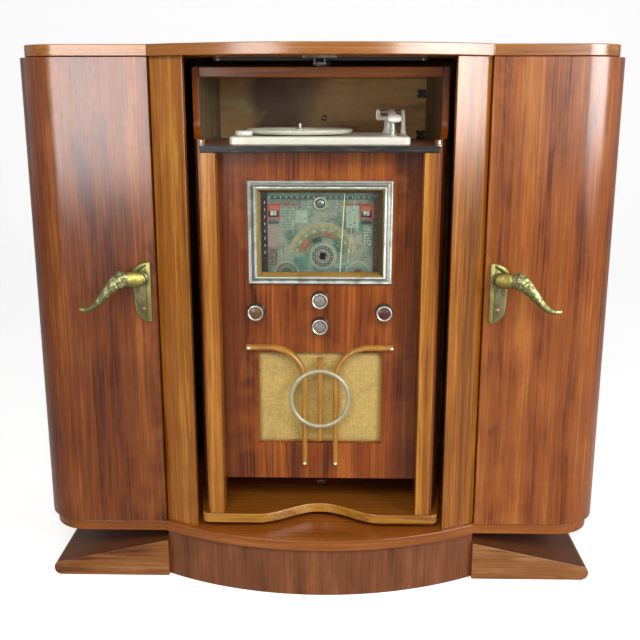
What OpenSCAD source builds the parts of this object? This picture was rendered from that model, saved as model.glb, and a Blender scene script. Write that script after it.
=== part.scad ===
// Radiogram with a revolving middle.
// A bowed cabinet has a cupboard at each side. Between them a drum turns on a vertical pivot.
// The drum's open side holds the record player, the dial, the knobs and the loudspeaker,
// and its other side is a closed bowed front.
// The origin is on the floor under the middle of the whole cabinet, and the front faces -Y.
// The modules are written in plan coordinates with Y = 0 at the front of the doors.

/* [Cabinet] */
// Height of the cabinet
cabinet_h = 1030; // [1020:1:1050]
// Width across the doors
cabinet_w = 1102; // [1096:2:1120]
// Depth from the front of the doors to the back
body_d = 440; // [440:1:480]
// How far the bowed middle stands forward of the doors
bow_d = 77; // [76:1:79]
// Width of the bowed middle
bow_w = 608; // [606:1:610]
// Thickness of the top and bottom boards
board_t = 20.5; // [19:0.5:22]
// Radius of the boards' front corners
board_corner_r = 70; // [60:1:80]
// How far the doors and sides stand out past the boards' ends
board_inset = 11; // [8:1:12]
// Height of the bowed plinth
plinth_h = 98.5; // [92:0.5:100]
// Thickness of the doors, sides and plinth walls
panel_t = 20; // [18:0.5:20]
// Thickness of the two partitions
partition_t = 18; // [15:0.5:18]
// Width of the opening between the pilasters
opening_w = 478; // [477:0.5:480]
// How far the pilasters and the plinth stand back from the boards' edge
front_recess = 9; // [7:0.5:11]
// Height of the side feet beside the plinth
foot_inner_h = 78; // [70:1:84]
// Height of the side feet at their outer ends
foot_outer_h = 30; // [26:1:34]
// Half of the width across the side feet
foot_half_w = 537; // [530:1:540]

/* [Doors] */
// Radius of the doors' rounded outer corner
door_corner_r = 80; // [70:1:80]
// Depth of a door measured along the side of the cabinet
door_side_d = 99; // [96:0.5:110]
// Gap round the doors
door_gap = 1.4; // [1:0.1:2]
// Height of the lower hinge of a door
hinge_low_z = 230; // [180:1:300]
// Height of the upper hinge of a door
hinge_high_z = 900; // [820:1:950]
// Length of a hinge
hinge_len = 70; // [60:1:80]
// Radius of a hinge barrel
barrel_r = 4; // [3.5:0.1:4]
// Radius of a hinge pin
hinge_pin_r = 2; // [1.8:0.1:2.2]
// Distance of the handles' spindles from the middle of the cabinet
handle_x = 331; // [330:0.5:334]
// Height of the handles' spindles
handle_z = 614; // [590:1:640]
// Radius of the handles' spindles
spindle_r = 4.5; // [4:0.1:5]
// Angle of a handle lever below the horizontal
lever_droop = 25; // [15:1:30]

/* [Drum] */
// Distance of the drum's pivot behind the front of the doors
axis_y = 134; // [132:0.5:136]
// Half of the widest width across the drum's bulging sides
drum_half_w = 241; // [236:0.5:242]
// Radius of the drum's bulging sides
drum_side_r = 441; // [430:1:460]
// Thickness of the drum's sides
drum_side_t = 12; // [10:0.5:13]
// Half of the width across the drum's two stiles
stile_half_w = 213; // [208:0.5:214]
// Width of a stile
stile_w = 27; // [24:0.5:30]
// Height of the drum's base above the cabinet's bottom board
drum_lift = 10; // [8:0.5:12]
// Thickness of the drum's base
drum_base_t = 19; // [17:0.5:20]
// Depth of the hollow in the front edge of the drum's base
base_wave_d = 51; // [40:1:55]
// Half of the width of that hollow
base_wave_w = 122; // [110:1:130]
// Height of the lower edge of the control panel
panel_z = 207; // [200:1:215]
// Height of the top face of the record deck
deck_z = 856; // [850:1:862]
// Thickness of the record deck
deck_t = 12; // [10:0.5:14]
// Height of the underside of the drum's top
drum_top_z = 975; // [970:1:978]
// Thickness of the drum's top
drum_top_t = 18; // [16:0.5:18]
// Radius of the upper pivot pin
pivot_r = 8; // [7:0.5:9]
// Radius of the lower pivot pin
foot_pivot_r = 10; // [9:0.5:12]

/* [Radio] */
// Width of the dial frame
dial_w = 268; // [260:1:272]
// Height of the dial frame
dial_h = 192; // [186:1:196]
// Width of the dial frame's border at the left and right
dial_border = 25; // [24:0.5:26]
// Width of the dial frame's border at the top and bottom
dial_edge = 22; // [21:0.5:24]
// Height of the middle of the dial
dial_z = 695.5; // [690:0.5:700]
// Distance of the outer knobs from the middle
knob_x = 120.5; // [115:0.5:125]
// Height of the outer knobs
knob_side_z = 546; // [540:1:550]
// Height of the upper middle knob
knob_upper_z = 569.5; // [568:0.5:572]
// Height of the lower middle knob
knob_lower_z = 519.5; // [516:0.5:522]
// Radius of a knob
knob_r = 17; // [15:0.5:18]
// Width of the loudspeaker opening
cloth_w = 237; // [230:1:240]
// Height of the loudspeaker opening
cloth_h = 184.5; // [180:0.5:188]
// Height of the lower edge of the loudspeaker opening
cloth_z = 280; // [276:1:284]
// Place of the dial pointer to the right of the middle
pointer_x = 37; // [-60:1:60]

/* [Record player] */
// Width of the record player's base
player_w = 325; // [315:1:330]
// Depth of the record player's base
player_d = 208; // [200:1:210]
// Height of the record player's base
player_h = 15; // [13:0.5:16]
// Radius of the turntable
platter_r = 100; // [96:1:102]
// Place of the turntable's spindle to the left of the middle
platter_x = -40; // [-44:1:-36]
// Place of the turntable's spindle behind the doors' front
platter_y = 105; // [103:1:108]
// Place of the tonearm's post to the right of the middle
arm_x = 133; // [130:1:136]
// Place of the tonearm's post behind the doors' front
arm_y = 150; // [146:1:154]
// Distance from the tonearm's post to its needle
arm_len = 150; // [146:1:152]

/* [Hidden] */
$fn = 96;

// Cabinet values
total_d = body_d + bow_d;
front_y = bow_d - total_d / 2;
half_w = cabinet_w / 2;
board_half = half_w - board_inset;
board_front = 3;
bow_half = bow_w / 2;
bow_r = (bow_half * bow_half + bow_d * bow_d) / (2 * bow_d);
bow_cy = bow_r - bow_d;
recess_r = bow_r - front_recess;
floor_z = plinth_h + board_t;
ceiling_z = cabinet_h - board_t;
room_h = ceiling_z - floor_z;
back_t = 6;
back_y = body_d - back_t;
opening_half = opening_w / 2;
partition_out = bow_half - 1;
partition_in = partition_out - partition_t;
partition_y = 36;
stop_w = 10;
foot_d = 430;
lead_hole_r = 9;
shelf_t = 15;
shelf_y = 62;
shelf_z = 520;

// Door and hinge values
HINGES = [hinge_low_z, hinge_high_z];
door_x = bow_half + 0.8;
door_z = floor_z + door_gap;
door_h = room_h - 2 * door_gap;
leaf_t = 1.2;
leaf_gap = 0.2;
side_y = door_side_d + 2 * leaf_t + leaf_gap;
hinge_x = half_w + 1;
hinge_y = door_side_d + leaf_t + leaf_gap / 2;
barrel_share = hinge_len / 3;
barrel_relief_r = barrel_r + 0.5;
leaf_edge_x = hinge_x - barrel_r - 0.7;
leaf_w = 15;
pin_play = 0.05;
handle_plate_t = 4;
handle_hub_y = -24;
tongue_y = partition_y + 1;
tongue_t = 4;

// Drum values
sweep_r = 270;
drum_front = -20;
side_front = -6;
bow_back_cy = 2 * axis_y - bow_cy;
base_z = floor_z + drum_lift;
base_top_z = base_z + drum_base_t;
base_half_w = drum_half_w + 3;
base_side_r = 720;
base_front = -22;
base_corner_r = 16;
closed_t = 16;
deck_under_z = deck_z - deck_t;
side_top_z = drum_top_z + drum_top_t;
top_front = 60;
sill_h = 10;
sweep_cut_y = 66;
sweep_cut_r = 36;
stile_in = stile_half_w - stile_w;
panel_y = 20;
control_t = 12;
control_half = 204;
panel_back_y = panel_y + control_t;
deck_front = drum_front - 1;
deck_back_y = 258;
deck_back_t = 8;
deck_d = deck_back_y + 20 - deck_front;

// Radio values
KNOBS = [[-knob_x, knob_side_z], [knob_x, knob_side_z], [0, knob_upper_z], [0, knob_lower_z]];
window_w = 230;
window_h = 180;
glass_t = 3;
scale_y = 38;
rail_y = 31;
rail_z = dial_z - 84;
rail_r = 1.5;
rail_half = 110;
eye_z = 748;
eye_r = 9;
chassis_y = 62;
chassis_d = 178;
chassis_w = 320;
chassis_z = 500;
chassis_h = 82;
chassis_top = chassis_z + chassis_h;
sheet_t = 2;
shaft_r = 3;
speaker_z = 372;
speaker_r = 98;
baffle_t = 10;
baffle_back_y = panel_back_y + baffle_t;
cap_z = chassis_top + 43;
cap_y = 64;
cap_pitch = 7;
cap_plates = 8;
cap_plate_r = 31;
cap_shaft_r = 3;
cloth_t = 4;
bar_w = 9.5;
bar_y = 9;
bar_d = panel_y - bar_y;
bar_top_z = 476;
bar_out_x = 140;
bar_in_x = 30;
bar_bend_r = 52;
bar_end_z = 238;
mid_bar_z = 289;
mid_bar_top_z = 456;
ring_z = 375.5;
ring_r = 59.3;
ring_w = 7.7;

// Record player values
player_y = -1;
player_top = deck_z + player_h;
platter_z = player_top + 2;
platter_pin_r = 5;
arm_post_h = 32;
arm_pivot_z = player_top + arm_post_h + 8;
needle_z = platter_z + 12;
arm_pin_r = 3;
arm_rest_h = 32.2;
speed_x = -139;
speed_y = 38;

walnut = [0.45, 0.22, 0.11];
light_walnut = [0.62, 0.38, 0.20];
dark_walnut = [0.33, 0.16, 0.09];
plywood = [0.62, 0.48, 0.30];
brass = [0.71, 0.58, 0.30];
steel = [0.56, 0.57, 0.58];
chrome = [0.80, 0.81, 0.80];
cream = [0.90, 0.89, 0.78];
black = [0.10, 0.10, 0.11];

module placed() {
    translate([0, front_y, 0]) children();
}

module on_side(side) {
    if (side < 0) {
        mirror([1, 0, 0]) children();
    } else {
        children();
    }
}

module up(z, h) {
    translate([0, 0, z]) linear_extrude(h) children();
}

// A box given by its two opposite corners
module block(low, high) {
    translate(low) cube(high - low);
}

// A cylinder along Y from y0 to y1
module rod_y(x, z, r, y0, y1) {
    translate([x, y0, z]) rotate([-90, 0, 0]) cylinder(r = r, h = y1 - y0);
}

// A cylinder along X with its middle at x
module rod_x(x, y, z, r, half) {
    translate([x - half, y, z]) rotate([0, 90, 0]) cylinder(r = r, h = 2 * half);
}

// Plan of a panel whose front right corner is round
module corner_plan(x_max, y_front, r, y_back) {
    translate([0, y_front]) square([x_max - r, y_back - y_front]);
    translate([0, y_front + r]) square([x_max, y_back - y_front - r]);
    translate([x_max - r, y_front + r]) circle(r);
}

// Plan of the top and bottom boards
module board_plan() {
    for (side = [-1, 1]) {
        on_side(side) corner_plan(board_half, board_front, board_corner_r, body_d);
    }
    intersection() {
        translate([0, bow_cy]) circle(bow_r, $fn = 240);
        translate([-bow_half, -bow_d]) square([bow_w, body_d + bow_d]);
    }
}

module top_board() {
    color(walnut) placed() up(ceiling_z, board_t) board_plan();
}

module bottom_board() {
    color(walnut) placed() up(plinth_h, board_t) board_plan();
}

module plinth_plan(inset) {
    intersection() {
        translate([0, bow_cy]) circle(recess_r - inset, $fn = 240);
        translate([-bow_half + inset, -bow_d]) square([bow_w - 2 * inset, back_y - inset + bow_d]);
    }
}

module plinth() {
    color(light_walnut) placed() up(0, plinth_h) difference() {
        plinth_plan(0);
        plinth_plan(panel_t);
    }
}

// A foot slopes down from the plinth to a round outer edge
module foot() {
    nose_r = foot_outer_h / 2;
    nose_x = foot_half_w - nose_r;
    translate([0, foot_d, 0]) rotate([90, 0, 0]) linear_extrude(foot_d) {
        polygon([[bow_half, 0], [bow_half, foot_inner_h], [nose_x, foot_outer_h], [nose_x, 0]]);
        translate([nose_x, nose_r]) circle(nose_r);
    }
}

module side_feet() {
    color(light_walnut) placed() for (side = [-1, 1]) on_side(side) foot();
}

// Upright cylinder on a hinge's axis
module hinge_rod(z, r, h) {
    translate([hinge_x, hinge_y, z - h / 2]) cylinder(r = r, h = h);
}

module hinge_relief() {
    for (z = HINGES) {
        hinge_rod(z, barrel_relief_r, hinge_len + 2);
    }
}

module side_panel(side) {
    color(walnut) placed() on_side(side) difference() {
        block([half_w - panel_t, side_y, floor_z], [half_w, body_d, ceiling_z]);
        hinge_relief();
    }
}

module side_panel_left() {
    side_panel(-1);
}

module side_panel_right() {
    side_panel(1);
}

// A partition with the lath that the door shuts against
module partition(side) {
    color(walnut) placed() on_side(side) {
        block([partition_in, partition_y, floor_z], [partition_out, back_y, ceiling_z]);
        block([partition_out, panel_t + 0.5, floor_z], [partition_out + stop_w, partition_y, ceiling_z]);
    }
}

module partition_left() {
    partition(-1);
}

module partition_right() {
    partition(1);
}

// A pilaster follows the bow in front and is cut back behind to let the drum turn
module pilaster(side) {
    color(light_walnut) placed() on_side(side) up(floor_z, room_h) intersection() {
        translate([0, bow_cy]) circle(recess_r, $fn = 240);
        polygon([
            [opening_half, -bow_d],
            [partition_out, -bow_d],
            [partition_out, partition_y],
            [partition_in, partition_y],
            [opening_half, 2]
        ]);
    }
}

module pilaster_left() {
    pilaster(-1);
}

module pilaster_right() {
    pilaster(1);
}

// Back with rows of vent slots and the hole for the mains lead
module back_panel() {
    slot_w = 100;
    slot_h = 8;
    slot_pitch = 26;
    slot_z = 560;
    lead_hole_z = 200;
    color(plywood) placed() difference() {
        block([panel_t - half_w, back_y, floor_z], [half_w - panel_t, body_d, ceiling_z]);
        for (x = [-140, 0, 140], row = [0:7]) {
            z = slot_z + row * slot_pitch;
            block([x - slot_w / 2, back_y - 1, z], [x + slot_w / 2, body_d + 1, z + slot_h]);
        }
        rod_y(0, lead_hole_z, lead_hole_r, back_y - 1, body_d + 1);
    }
}

// The front part of a shelf is narrower, to clear the rounded inside of the door
module wing_shelves() {
    top_z = shelf_z + shelf_t;
    color(plywood) placed() for (side = [-1, 1]) on_side(side) {
        block([partition_out, shelf_y, shelf_z], [half_w - panel_t - 16, side_y + 1, top_z]);
        block([partition_out, side_y, shelf_z], [half_w - panel_t, back_y, top_z]);
    }
}

// One leaf of a hinge with its barrels: the fixed leaf has two barrels and the moving one has one
module hinge_leaf(y_low, barrels) {
    y_high = y_low + leaf_t;
    half_len = hinge_len / 2;
    half_barrel = barrel_share / 2 - 0.15;
    for (z = HINGES) {
        block([leaf_edge_x - leaf_w, y_low, z - half_len], [leaf_edge_x, y_high, z + half_len]);
        for (i = barrels) {
            mid_z = z + i * barrel_share;
            hinge_rod(mid_z, barrel_r, 2 * half_barrel);
            block([leaf_edge_x - 1, y_low, mid_z - half_barrel], [hinge_x, y_high, mid_z + half_barrel]);
        }
    }
}

module hinge_plates() {
    color(brass) placed() for (side = [-1, 1]) on_side(side) {
        hinge_leaf(hinge_y + leaf_gap / 2, [-1, 1]);
        for (z = HINGES) {
            hinge_rod(z, hinge_pin_r, hinge_len);
        }
    }
}

module door_leaves(side) {
    color(brass) placed() on_side(side) difference() {
        hinge_leaf(door_side_d, [0]);
        for (z = HINGES) {
            hinge_rod(z, hinge_pin_r + pin_play, hinge_len);
        }
    }
}

module door_leaves_left() {
    door_leaves(-1);
}

module door_leaves_right() {
    door_leaves(1);
}

// Steel T under the top board: a cross bar, an arm and the pin that the drum hangs on
module pivot_bearer() {
    bearer_z = ceiling_z - 5.5;
    color(steel) placed() {
        block([-195, 64, bearer_z], [195, 88, ceiling_z]);
        block([-22, 88, bearer_z], [22, axis_y + 30, ceiling_z]);
        translate([0, axis_y, drum_top_z]) cylinder(r = pivot_r, h = bearer_z - drum_top_z + 1);
        translate([0, axis_y, side_top_z + 0.2]) cylinder(r = 20, h = bearer_z - side_top_z);
    }
}

// Floor plate with a thrust ring and the lower pin
module base_bearing() {
    color(steel) placed() translate([0, axis_y, floor_z]) {
        cylinder(r = 70, h = 3);
        cylinder(r = 30, h = drum_lift - 0.1);
        cylinder(r = foot_pivot_r, h = drum_lift + drum_base_t - 3);
    }
}

// Spring roller under the front of the top board that holds the drum in its two places
module turn_catch() {
    roller_r = 5;
    roller_z = side_top_z + 0.6 + roller_r;
    color(steel) placed() {
        block([-30, -8, ceiling_z - 3], [30, 40, ceiling_z]);
        for (x = [-11, 7]) {
            block([x, 34, roller_z - 3], [x + 2, 56, ceiling_z]);
        }
        rod_x(-1, 50, roller_z, 2, 12);
        rod_x(-1, 50, roller_z, roller_r, 7);
    }
}

// A door is flat in front and wraps round the cabinet's corner to its hinges
module door(side) {
    color(walnut) placed() on_side(side) difference() {
        up(door_z, door_h) intersection() {
            difference() {
                corner_plan(half_w, 0, door_corner_r, door_side_d + 40);
                corner_plan(half_w - panel_t, panel_t, door_corner_r - panel_t, door_side_d + 41);
            }
            translate([door_x, 0]) square([half_w - door_x, door_side_d]);
        }
        hinge_relief();
        rod_y(handle_x, handle_z, spindle_r + 1, -1, panel_t + 1);
    }
}

module door_left() {
    door(-1);
}

module door_right() {
    door(1);
}

// Shield shaped plate with a screw at the top and the bottom
module handle_plate(side) {
    plate_top = 29;
    plate_bottom = -84;
    plate_half = 17;
    tip_half = 7;
    color(brass) placed() on_side(side) {
        difference() {
            translate([handle_x, 0, handle_z]) rotate([90, 0, 0]) linear_extrude(handle_plate_t) polygon([
                [-plate_half, -30], [-plate_half, plate_top - 8], [-plate_half + 8, plate_top],
                [plate_half - 8, plate_top], [plate_half, plate_top - 8], [plate_half, -30],
                [tip_half, plate_bottom], [-tip_half, plate_bottom]
            ]);
            rod_y(handle_x, handle_z, spindle_r + pin_play, -handle_plate_t - 1, 1);
        }
        for (z = [plate_top - 11, plate_bottom + 24]) {
            rod_y(handle_x, handle_z + z, 3.5, -handle_plate_t - 1.5, -handle_plate_t);
        }
    }
}

module handle_plate_left() {
    handle_plate(-1);
}

module handle_plate_right() {
    handle_plate(1);
}

// Points along the lever, each with its radius: out from the hub, over a crest and down to the tip
LEVER = [
    [0, -22, 0, 9],
    [12, -38, 1, 8],
    [36, -48, 5, 8],
    [66, -50, 2, 7],
    [96, -48, -5, 6],
    [122, -42, -8, 4.5]
];

module lever_ball(i) {
    translate([LEVER[i][0], LEVER[i][1], LEVER[i][2]]) sphere(r = LEVER[i][3], $fn = 24);
}

// Lever, spindle and the tongue behind the door that latches it
module handle(side) {
    color(brass) placed() on_side(side) translate([handle_x, 0, handle_z]) {
        rotate([0, lever_droop, 0]) for (i = [0:4]) {
            hull() {
                lever_ball(i);
                lever_ball(i + 1);
            }
        }
        rod_y(0, 0, 10, handle_hub_y, -handle_plate_t - 0.3);
        rod_y(0, 0, spindle_r, handle_hub_y, tongue_y + tongue_t);
        block([-6, tongue_y, -28], [6, tongue_y + tongue_t, 8]);
    }
}

module handle_left() {
    handle(-1);
}

module handle_right() {
    handle(1);
}

// Plan of the drum between two bulging sides, the front line and the bow of the closed side
module drum_plan(half, side_r, back_inset, y_front) {
    intersection() {
        translate([half - side_r, axis_y]) circle(side_r, $fn = 240);
        translate([side_r - half, axis_y]) circle(side_r, $fn = 240);
        translate([0, bow_back_cy]) circle(recess_r - back_inset, $fn = 240);
        translate([-drum_half_w - 5, y_front]) square([2 * drum_half_w + 10, body_d]);
    }
}

module drum_inside(y_front) {
    drum_plan(drum_half_w - drum_side_t, drum_side_r - drum_side_t, closed_t, y_front);
}

// The hollow front edge of the base is one cosine wave between two straight stretches
WAVE = [
    for (x = [-base_wave_w:base_wave_w / 12:base_wave_w + 0.01])
        [x, base_front + base_wave_d * (1 + cos(180 * x / base_wave_w)) / 2]
];

module drum_base() {
    corner_y = base_front + base_corner_r;
    side_drop = base_side_r - sqrt(base_side_r * base_side_r - pow(axis_y - corner_y, 2));
    corner_x = base_half_w - side_drop - base_corner_r;
    color(light_walnut) placed() difference() {
        up(base_z, drum_base_t) difference() {
            union() {
                intersection() {
                    drum_plan(base_half_w, base_side_r, 0, corner_y);
                    translate([0, axis_y]) circle(sweep_r, $fn = 240);
                }
                translate([-corner_x, base_front]) square([2 * corner_x, base_corner_r + 1]);
                for (side = [-1, 1]) {
                    translate([side * corner_x, corner_y]) circle(base_corner_r);
                }
            }
            polygon(concat([[-base_wave_w, base_front - 5]], WAVE, [[base_wave_w, base_front - 5]]));
        }
        translate([0, axis_y, base_z - 1]) cylinder(r = foot_pivot_r + pin_play, h = drum_base_t + 2);
    }
}

module drum_top() {
    color(walnut) placed() difference() {
        up(drum_top_z, drum_top_t) drum_inside(top_front);
        translate([0, axis_y, drum_top_z - 1]) cylinder(r = pivot_r + pin_play, h = drum_top_t + 2);
    }
}

// Side view of what is cut away above the record deck, with a round lower corner at the back
module side_cut() {
    cut_z = deck_z + sill_h;
    rotate([90, 0, 90]) translate([0, 0, -drum_half_w - 10])
        linear_extrude(2 * drum_half_w + 20) {
            translate([side_front - 5, cut_z]) square([sweep_cut_y - sweep_cut_r - side_front + 5, 200]);
            translate([side_front - 5, cut_z + sweep_cut_r]) square([sweep_cut_y - side_front + 5, 200]);
            translate([sweep_cut_y - sweep_cut_r, cut_z + sweep_cut_r]) circle(sweep_cut_r);
        }
}

module drum_side(side) {
    color(walnut) placed() on_side(side) difference() {
        up(base_top_z, side_top_z - base_top_z) intersection() {
            difference() {
                drum_plan(drum_half_w, drum_side_r, 0, side_front);
                translate([drum_half_w - drum_side_r, axis_y]) circle(drum_side_r - drum_side_t, $fn = 240);
            }
            translate([0, -100]) square([drum_half_w + 10, 600]);
        }
        side_cut();
    }
}

module drum_side_left() {
    drum_side(-1);
}

module drum_side_right() {
    drum_side(1);
}

// The bowed front that shows when the drum is turned round
module closed_front() {
    color(walnut) placed() up(base_top_z, side_top_z - base_top_z) difference() {
        drum_plan(drum_half_w - drum_side_t, drum_side_r - drum_side_t, 0, axis_y);
        translate([0, bow_back_cy]) circle(recess_r - closed_t, $fn = 240);
    }
}

module drum_stiles() {
    stile_h = deck_under_z - base_top_z;
    color(light_walnut) placed() for (side = [-1, 1]) on_side(side) up(base_top_z, stile_h) {
        translate([stile_in, drum_front]) square([stile_w, side_front - drum_front]);
        intersection() {
            translate([stile_in, drum_front]) square([stile_w, panel_y - drum_front]);
            drum_inside(side_front - 1);
        }
    }
}

module deck_board() {
    color(black) placed() difference() {
        up(deck_under_z, deck_t) {
            translate([-stile_half_w, deck_front]) square([2 * stile_half_w, side_front - deck_front]);
            intersection() {
                drum_inside(side_front - 1);
                translate([-drum_half_w, deck_front]) square([2 * drum_half_w, deck_d]);
            }
        }
        translate([platter_x, platter_y, deck_under_z - 1]) cylinder(r = 9, h = deck_t + 2);
    }
}

module deck_back() {
    color(plywood) placed() up(deck_z, drum_top_z - deck_z) intersection() {
        drum_inside(side_front);
        translate([-drum_half_w, deck_back_y]) square([2 * drum_half_w, deck_back_t]);
    }
}

// The roof of the lower compartment and the shelf that carries the chassis
module drum_shelves() {
    board = 12;
    color(plywood) placed() {
        up(panel_z, board) drum_inside(panel_back_y);
        up(chassis_z - board, board) drum_inside(panel_back_y + 40);
    }
}

// Control panel with the dial's window, the loudspeaker's opening and four shaft holes
module control_panel() {
    y0 = panel_y - 1;
    y1 = panel_back_y + 1;
    color(dark_walnut) placed() difference() {
        block([-control_half, panel_y, panel_z], [control_half, panel_back_y, deck_under_z]);
        block([-window_w / 2, y0, dial_z - window_h / 2], [window_w / 2, y1, dial_z + window_h / 2]);
        block([-cloth_w / 2, y0, cloth_z], [cloth_w / 2, y1, cloth_z + cloth_h]);
        for (place = KNOBS) {
            rod_y(place[0], place[1], shaft_r + 3, y0, y1);
        }
    }
}

// One rectangular step of the dial frame, set in from its outer edges
module frame_step(inset_x, inset_z, y0, y1) {
    x = dial_w / 2 - inset_x;
    z = dial_h / 2 - inset_z;
    block([-x, y0, dial_z - z], [x, y1, dial_z + z]);
}

// Three steps round the opening, each standing further forward
module dial_frame() {
    color(chrome) placed() difference() {
        union() {
            frame_step(0, 0, panel_y - 6, panel_y);
            frame_step(4, 4, panel_y - 9, panel_y - 5);
            frame_step(11, 10, panel_y - 12, panel_y - 8);
        }
        frame_step(dial_border, dial_edge, panel_y - 13, panel_y + 1);
    }
}

module dial_glass() {
    x = window_w / 2 - 1;
    z = window_h / 2 - 1;
    color([0.75, 0.85, 0.80, 0.35]) placed()
        block([-x, panel_y, dial_z - z], [x, panel_y + glass_t, dial_z + z]);
}

// Printed scale plate on four pegs, with the rail that the pointer runs on
module dial_scale() {
    x = window_w / 2 + 10;
    z = window_h / 2 + 6;
    peg_x = window_w / 2 + 5;
    color([0.45, 0.52, 0.42]) placed() {
        difference() {
            block([-x, scale_y, dial_z - z], [x, scale_y + 2, dial_z + z]);
            rod_y(0, eye_z, eye_r + pin_play, scale_y - 1, scale_y + 3);
        }
        for (side_x = [-peg_x, peg_x], side_z = [dial_z - 80, dial_z + 80]) {
            rod_y(side_x, side_z, 3, panel_back_y, scale_y);
        }
        rod_x(0, rail_y, rail_z, rail_r, rail_half);
        for (side = [-1, 1]) on_side(side) {
            block([rail_half - 2, rail_y - 2, rail_z - 2], [rail_half, scale_y, rail_z + 2]);
        }
    }
}

// Carriage with the wide hand and the thin hand of the dial
module dial_pointer() {
    hand_gap = 17;
    hand_top = 156;
    color(cream) placed() translate([pointer_x, rail_y, rail_z]) difference() {
        union() {
            block([-1.2, -0.8, 2], [1.2, 0.8, hand_top]);
            block([hand_gap, -0.5, 2], [hand_gap + 1.2, 0.5, hand_top]);
            block([-8, -3, -3], [21, 3, 4]);
        }
        rod_x(0, 0, 0, rail_r + pin_play, 40);
    }
}

// Eye valve: its face shows through the scale plate and its base is behind
module tuning_eye() {
    color([0.25, 0.35, 0.25]) placed() {
        rod_y(0, eye_z, eye_r, scale_y - 4, scale_y + 60);
        rod_y(0, eye_z, eye_r + 5, scale_y + 60, scale_y + 76);
    }
}

// A knob with a skirt, a ribbed body and its shaft
module knob(place) {
    x = place[0];
    z = place[1];
    placed() {
        rod_y(x, z, knob_r, panel_y - 6, panel_y - 0.4);
        rod_y(x, z, knob_r - 1.5, panel_y - 21, panel_y - 5.5);
        rod_y(x, z, shaft_r, panel_y - 10, chassis_y + 14);
    }
}

module knob_left() {
    color([0.45, 0.28, 0.12]) knob(KNOBS[0]);
}

module knob_right() {
    color([0.35, 0.05, 0.06]) knob(KNOBS[1]);
}

module knob_upper() {
    color(steel) knob(KNOBS[2]);
}

module knob_lower() {
    color(steel) knob(KNOBS[3]);
}

// Folded sheet chassis, open underneath, with the coil cans on it
module chassis() {
    x = chassis_w / 2;
    back = chassis_y + chassis_d;
    color(steel) placed() {
        difference() {
            block([-x, chassis_y, chassis_z], [x, back, chassis_top]);
            block([sheet_t - x, chassis_y + sheet_t, chassis_z - 1],
                [x - sheet_t, back - sheet_t, chassis_top - sheet_t]);
            for (place = KNOBS) {
                rod_y(place[0], place[1], shaft_r + pin_play, chassis_y - 1, chassis_y + sheet_t + 1);
            }
        }
        for (place = [[-115, 95], [-60, 205], [65, 95]]) {
            translate([place[0], place[1], chassis_top]) cylinder(r = 19, h = 58);
        }
    }
}

// A valve: base, glass envelope and top cap
module valve(x, y, r, h) {
    translate([x, y, chassis_top]) {
        cylinder(r = r * 0.8, h = 24);
        translate([0, 0, 24]) cylinder(r = r, h = h - 24 - r);
        translate([0, 0, h - r]) intersection() {
            sphere(r = r);
            translate([-r, -r, 0]) cube([2 * r, 2 * r, r]);
        }
        cylinder(r = 4, h = h + 6);
    }
}

module valves() {
    color([0.55, 0.56, 0.55]) placed() {
        valve(-125, 150, 19, 98);
        valve(-125, 205, 19, 98);
        valve(-70, 150, 19, 98);
        valve(125, 100, 22, 112);
        valve(0, 205, 22, 104);
    }
}

module mains_transformer() {
    color([0.22, 0.20, 0.18]) placed() {
        block([60, 140, chassis_top], [145, 158, chassis_top + 78]);
        block([60, 158, chassis_top], [145, 200, chassis_top + 92]);
        block([60, 200, chassis_top], [145, 218, chassis_top + 78]);
    }
}

// Half round plates on a common axis along Y
module half_plates(r, first_y, upper) {
    for (i = [0:cap_plates - 1]) {
        translate([0, first_y + i * cap_pitch, cap_z]) rotate([-90, 0, 0]) linear_extrude(1) intersection() {
            circle(r);
            translate([-r, upper ? -r : 0]) square([2 * r, r]);
        }
    }
}

// Frame with two end plates, and the fixed plates with a hollow for the shaft
module tuning_capacitor() {
    cap_end = cap_y + cap_plates * cap_pitch + 4;
    color([0.65, 0.66, 0.66]) placed() {
        block([-34, cap_y, chassis_top], [34, cap_end + 2, chassis_top + 3]);
        for (y = [cap_y, cap_end]) {
            difference() {
                block([-34, y, chassis_top], [34, y + 2, cap_z + 20]);
                rod_y(0, cap_z, cap_shaft_r + pin_play, y - 1, y + 3);
            }
        }
        difference() {
            half_plates(cap_plate_r, cap_y + 8, true);
            rod_y(0, cap_z, 8, cap_y, cap_end);
            block([-cap_plate_r, cap_y, cap_z - 1], [cap_plate_r, cap_end, cap_z + 4]);
        }
        for (x = [-cap_plate_r - 2, cap_plate_r - 4]) {
            block([x, cap_y, cap_z + 5], [x + 6, cap_end, cap_z + 10]);
        }
    }
}

// Shaft, moving plates and the cord wheel in front
module capacitor_rotor() {
    color([0.75, 0.72, 0.62]) placed() {
        rod_y(0, cap_z, cap_shaft_r, cap_y - 16, cap_y + cap_plates * cap_pitch + 8);
        half_plates(27, cap_y + 4.5, false);
        rod_y(0, cap_z, 32, cap_y - 14, cap_y - 8);
    }
}

module baffle_board() {
    x = cloth_w / 2 + 20;
    color(plywood) placed() difference() {
        block([-x, panel_back_y, cloth_z - 20], [x, baffle_back_y, cloth_z + cloth_h + 14]);
        rod_y(0, speaker_z, speaker_r - 12, panel_back_y - 1, baffle_back_y + 1);
    }
}

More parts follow.
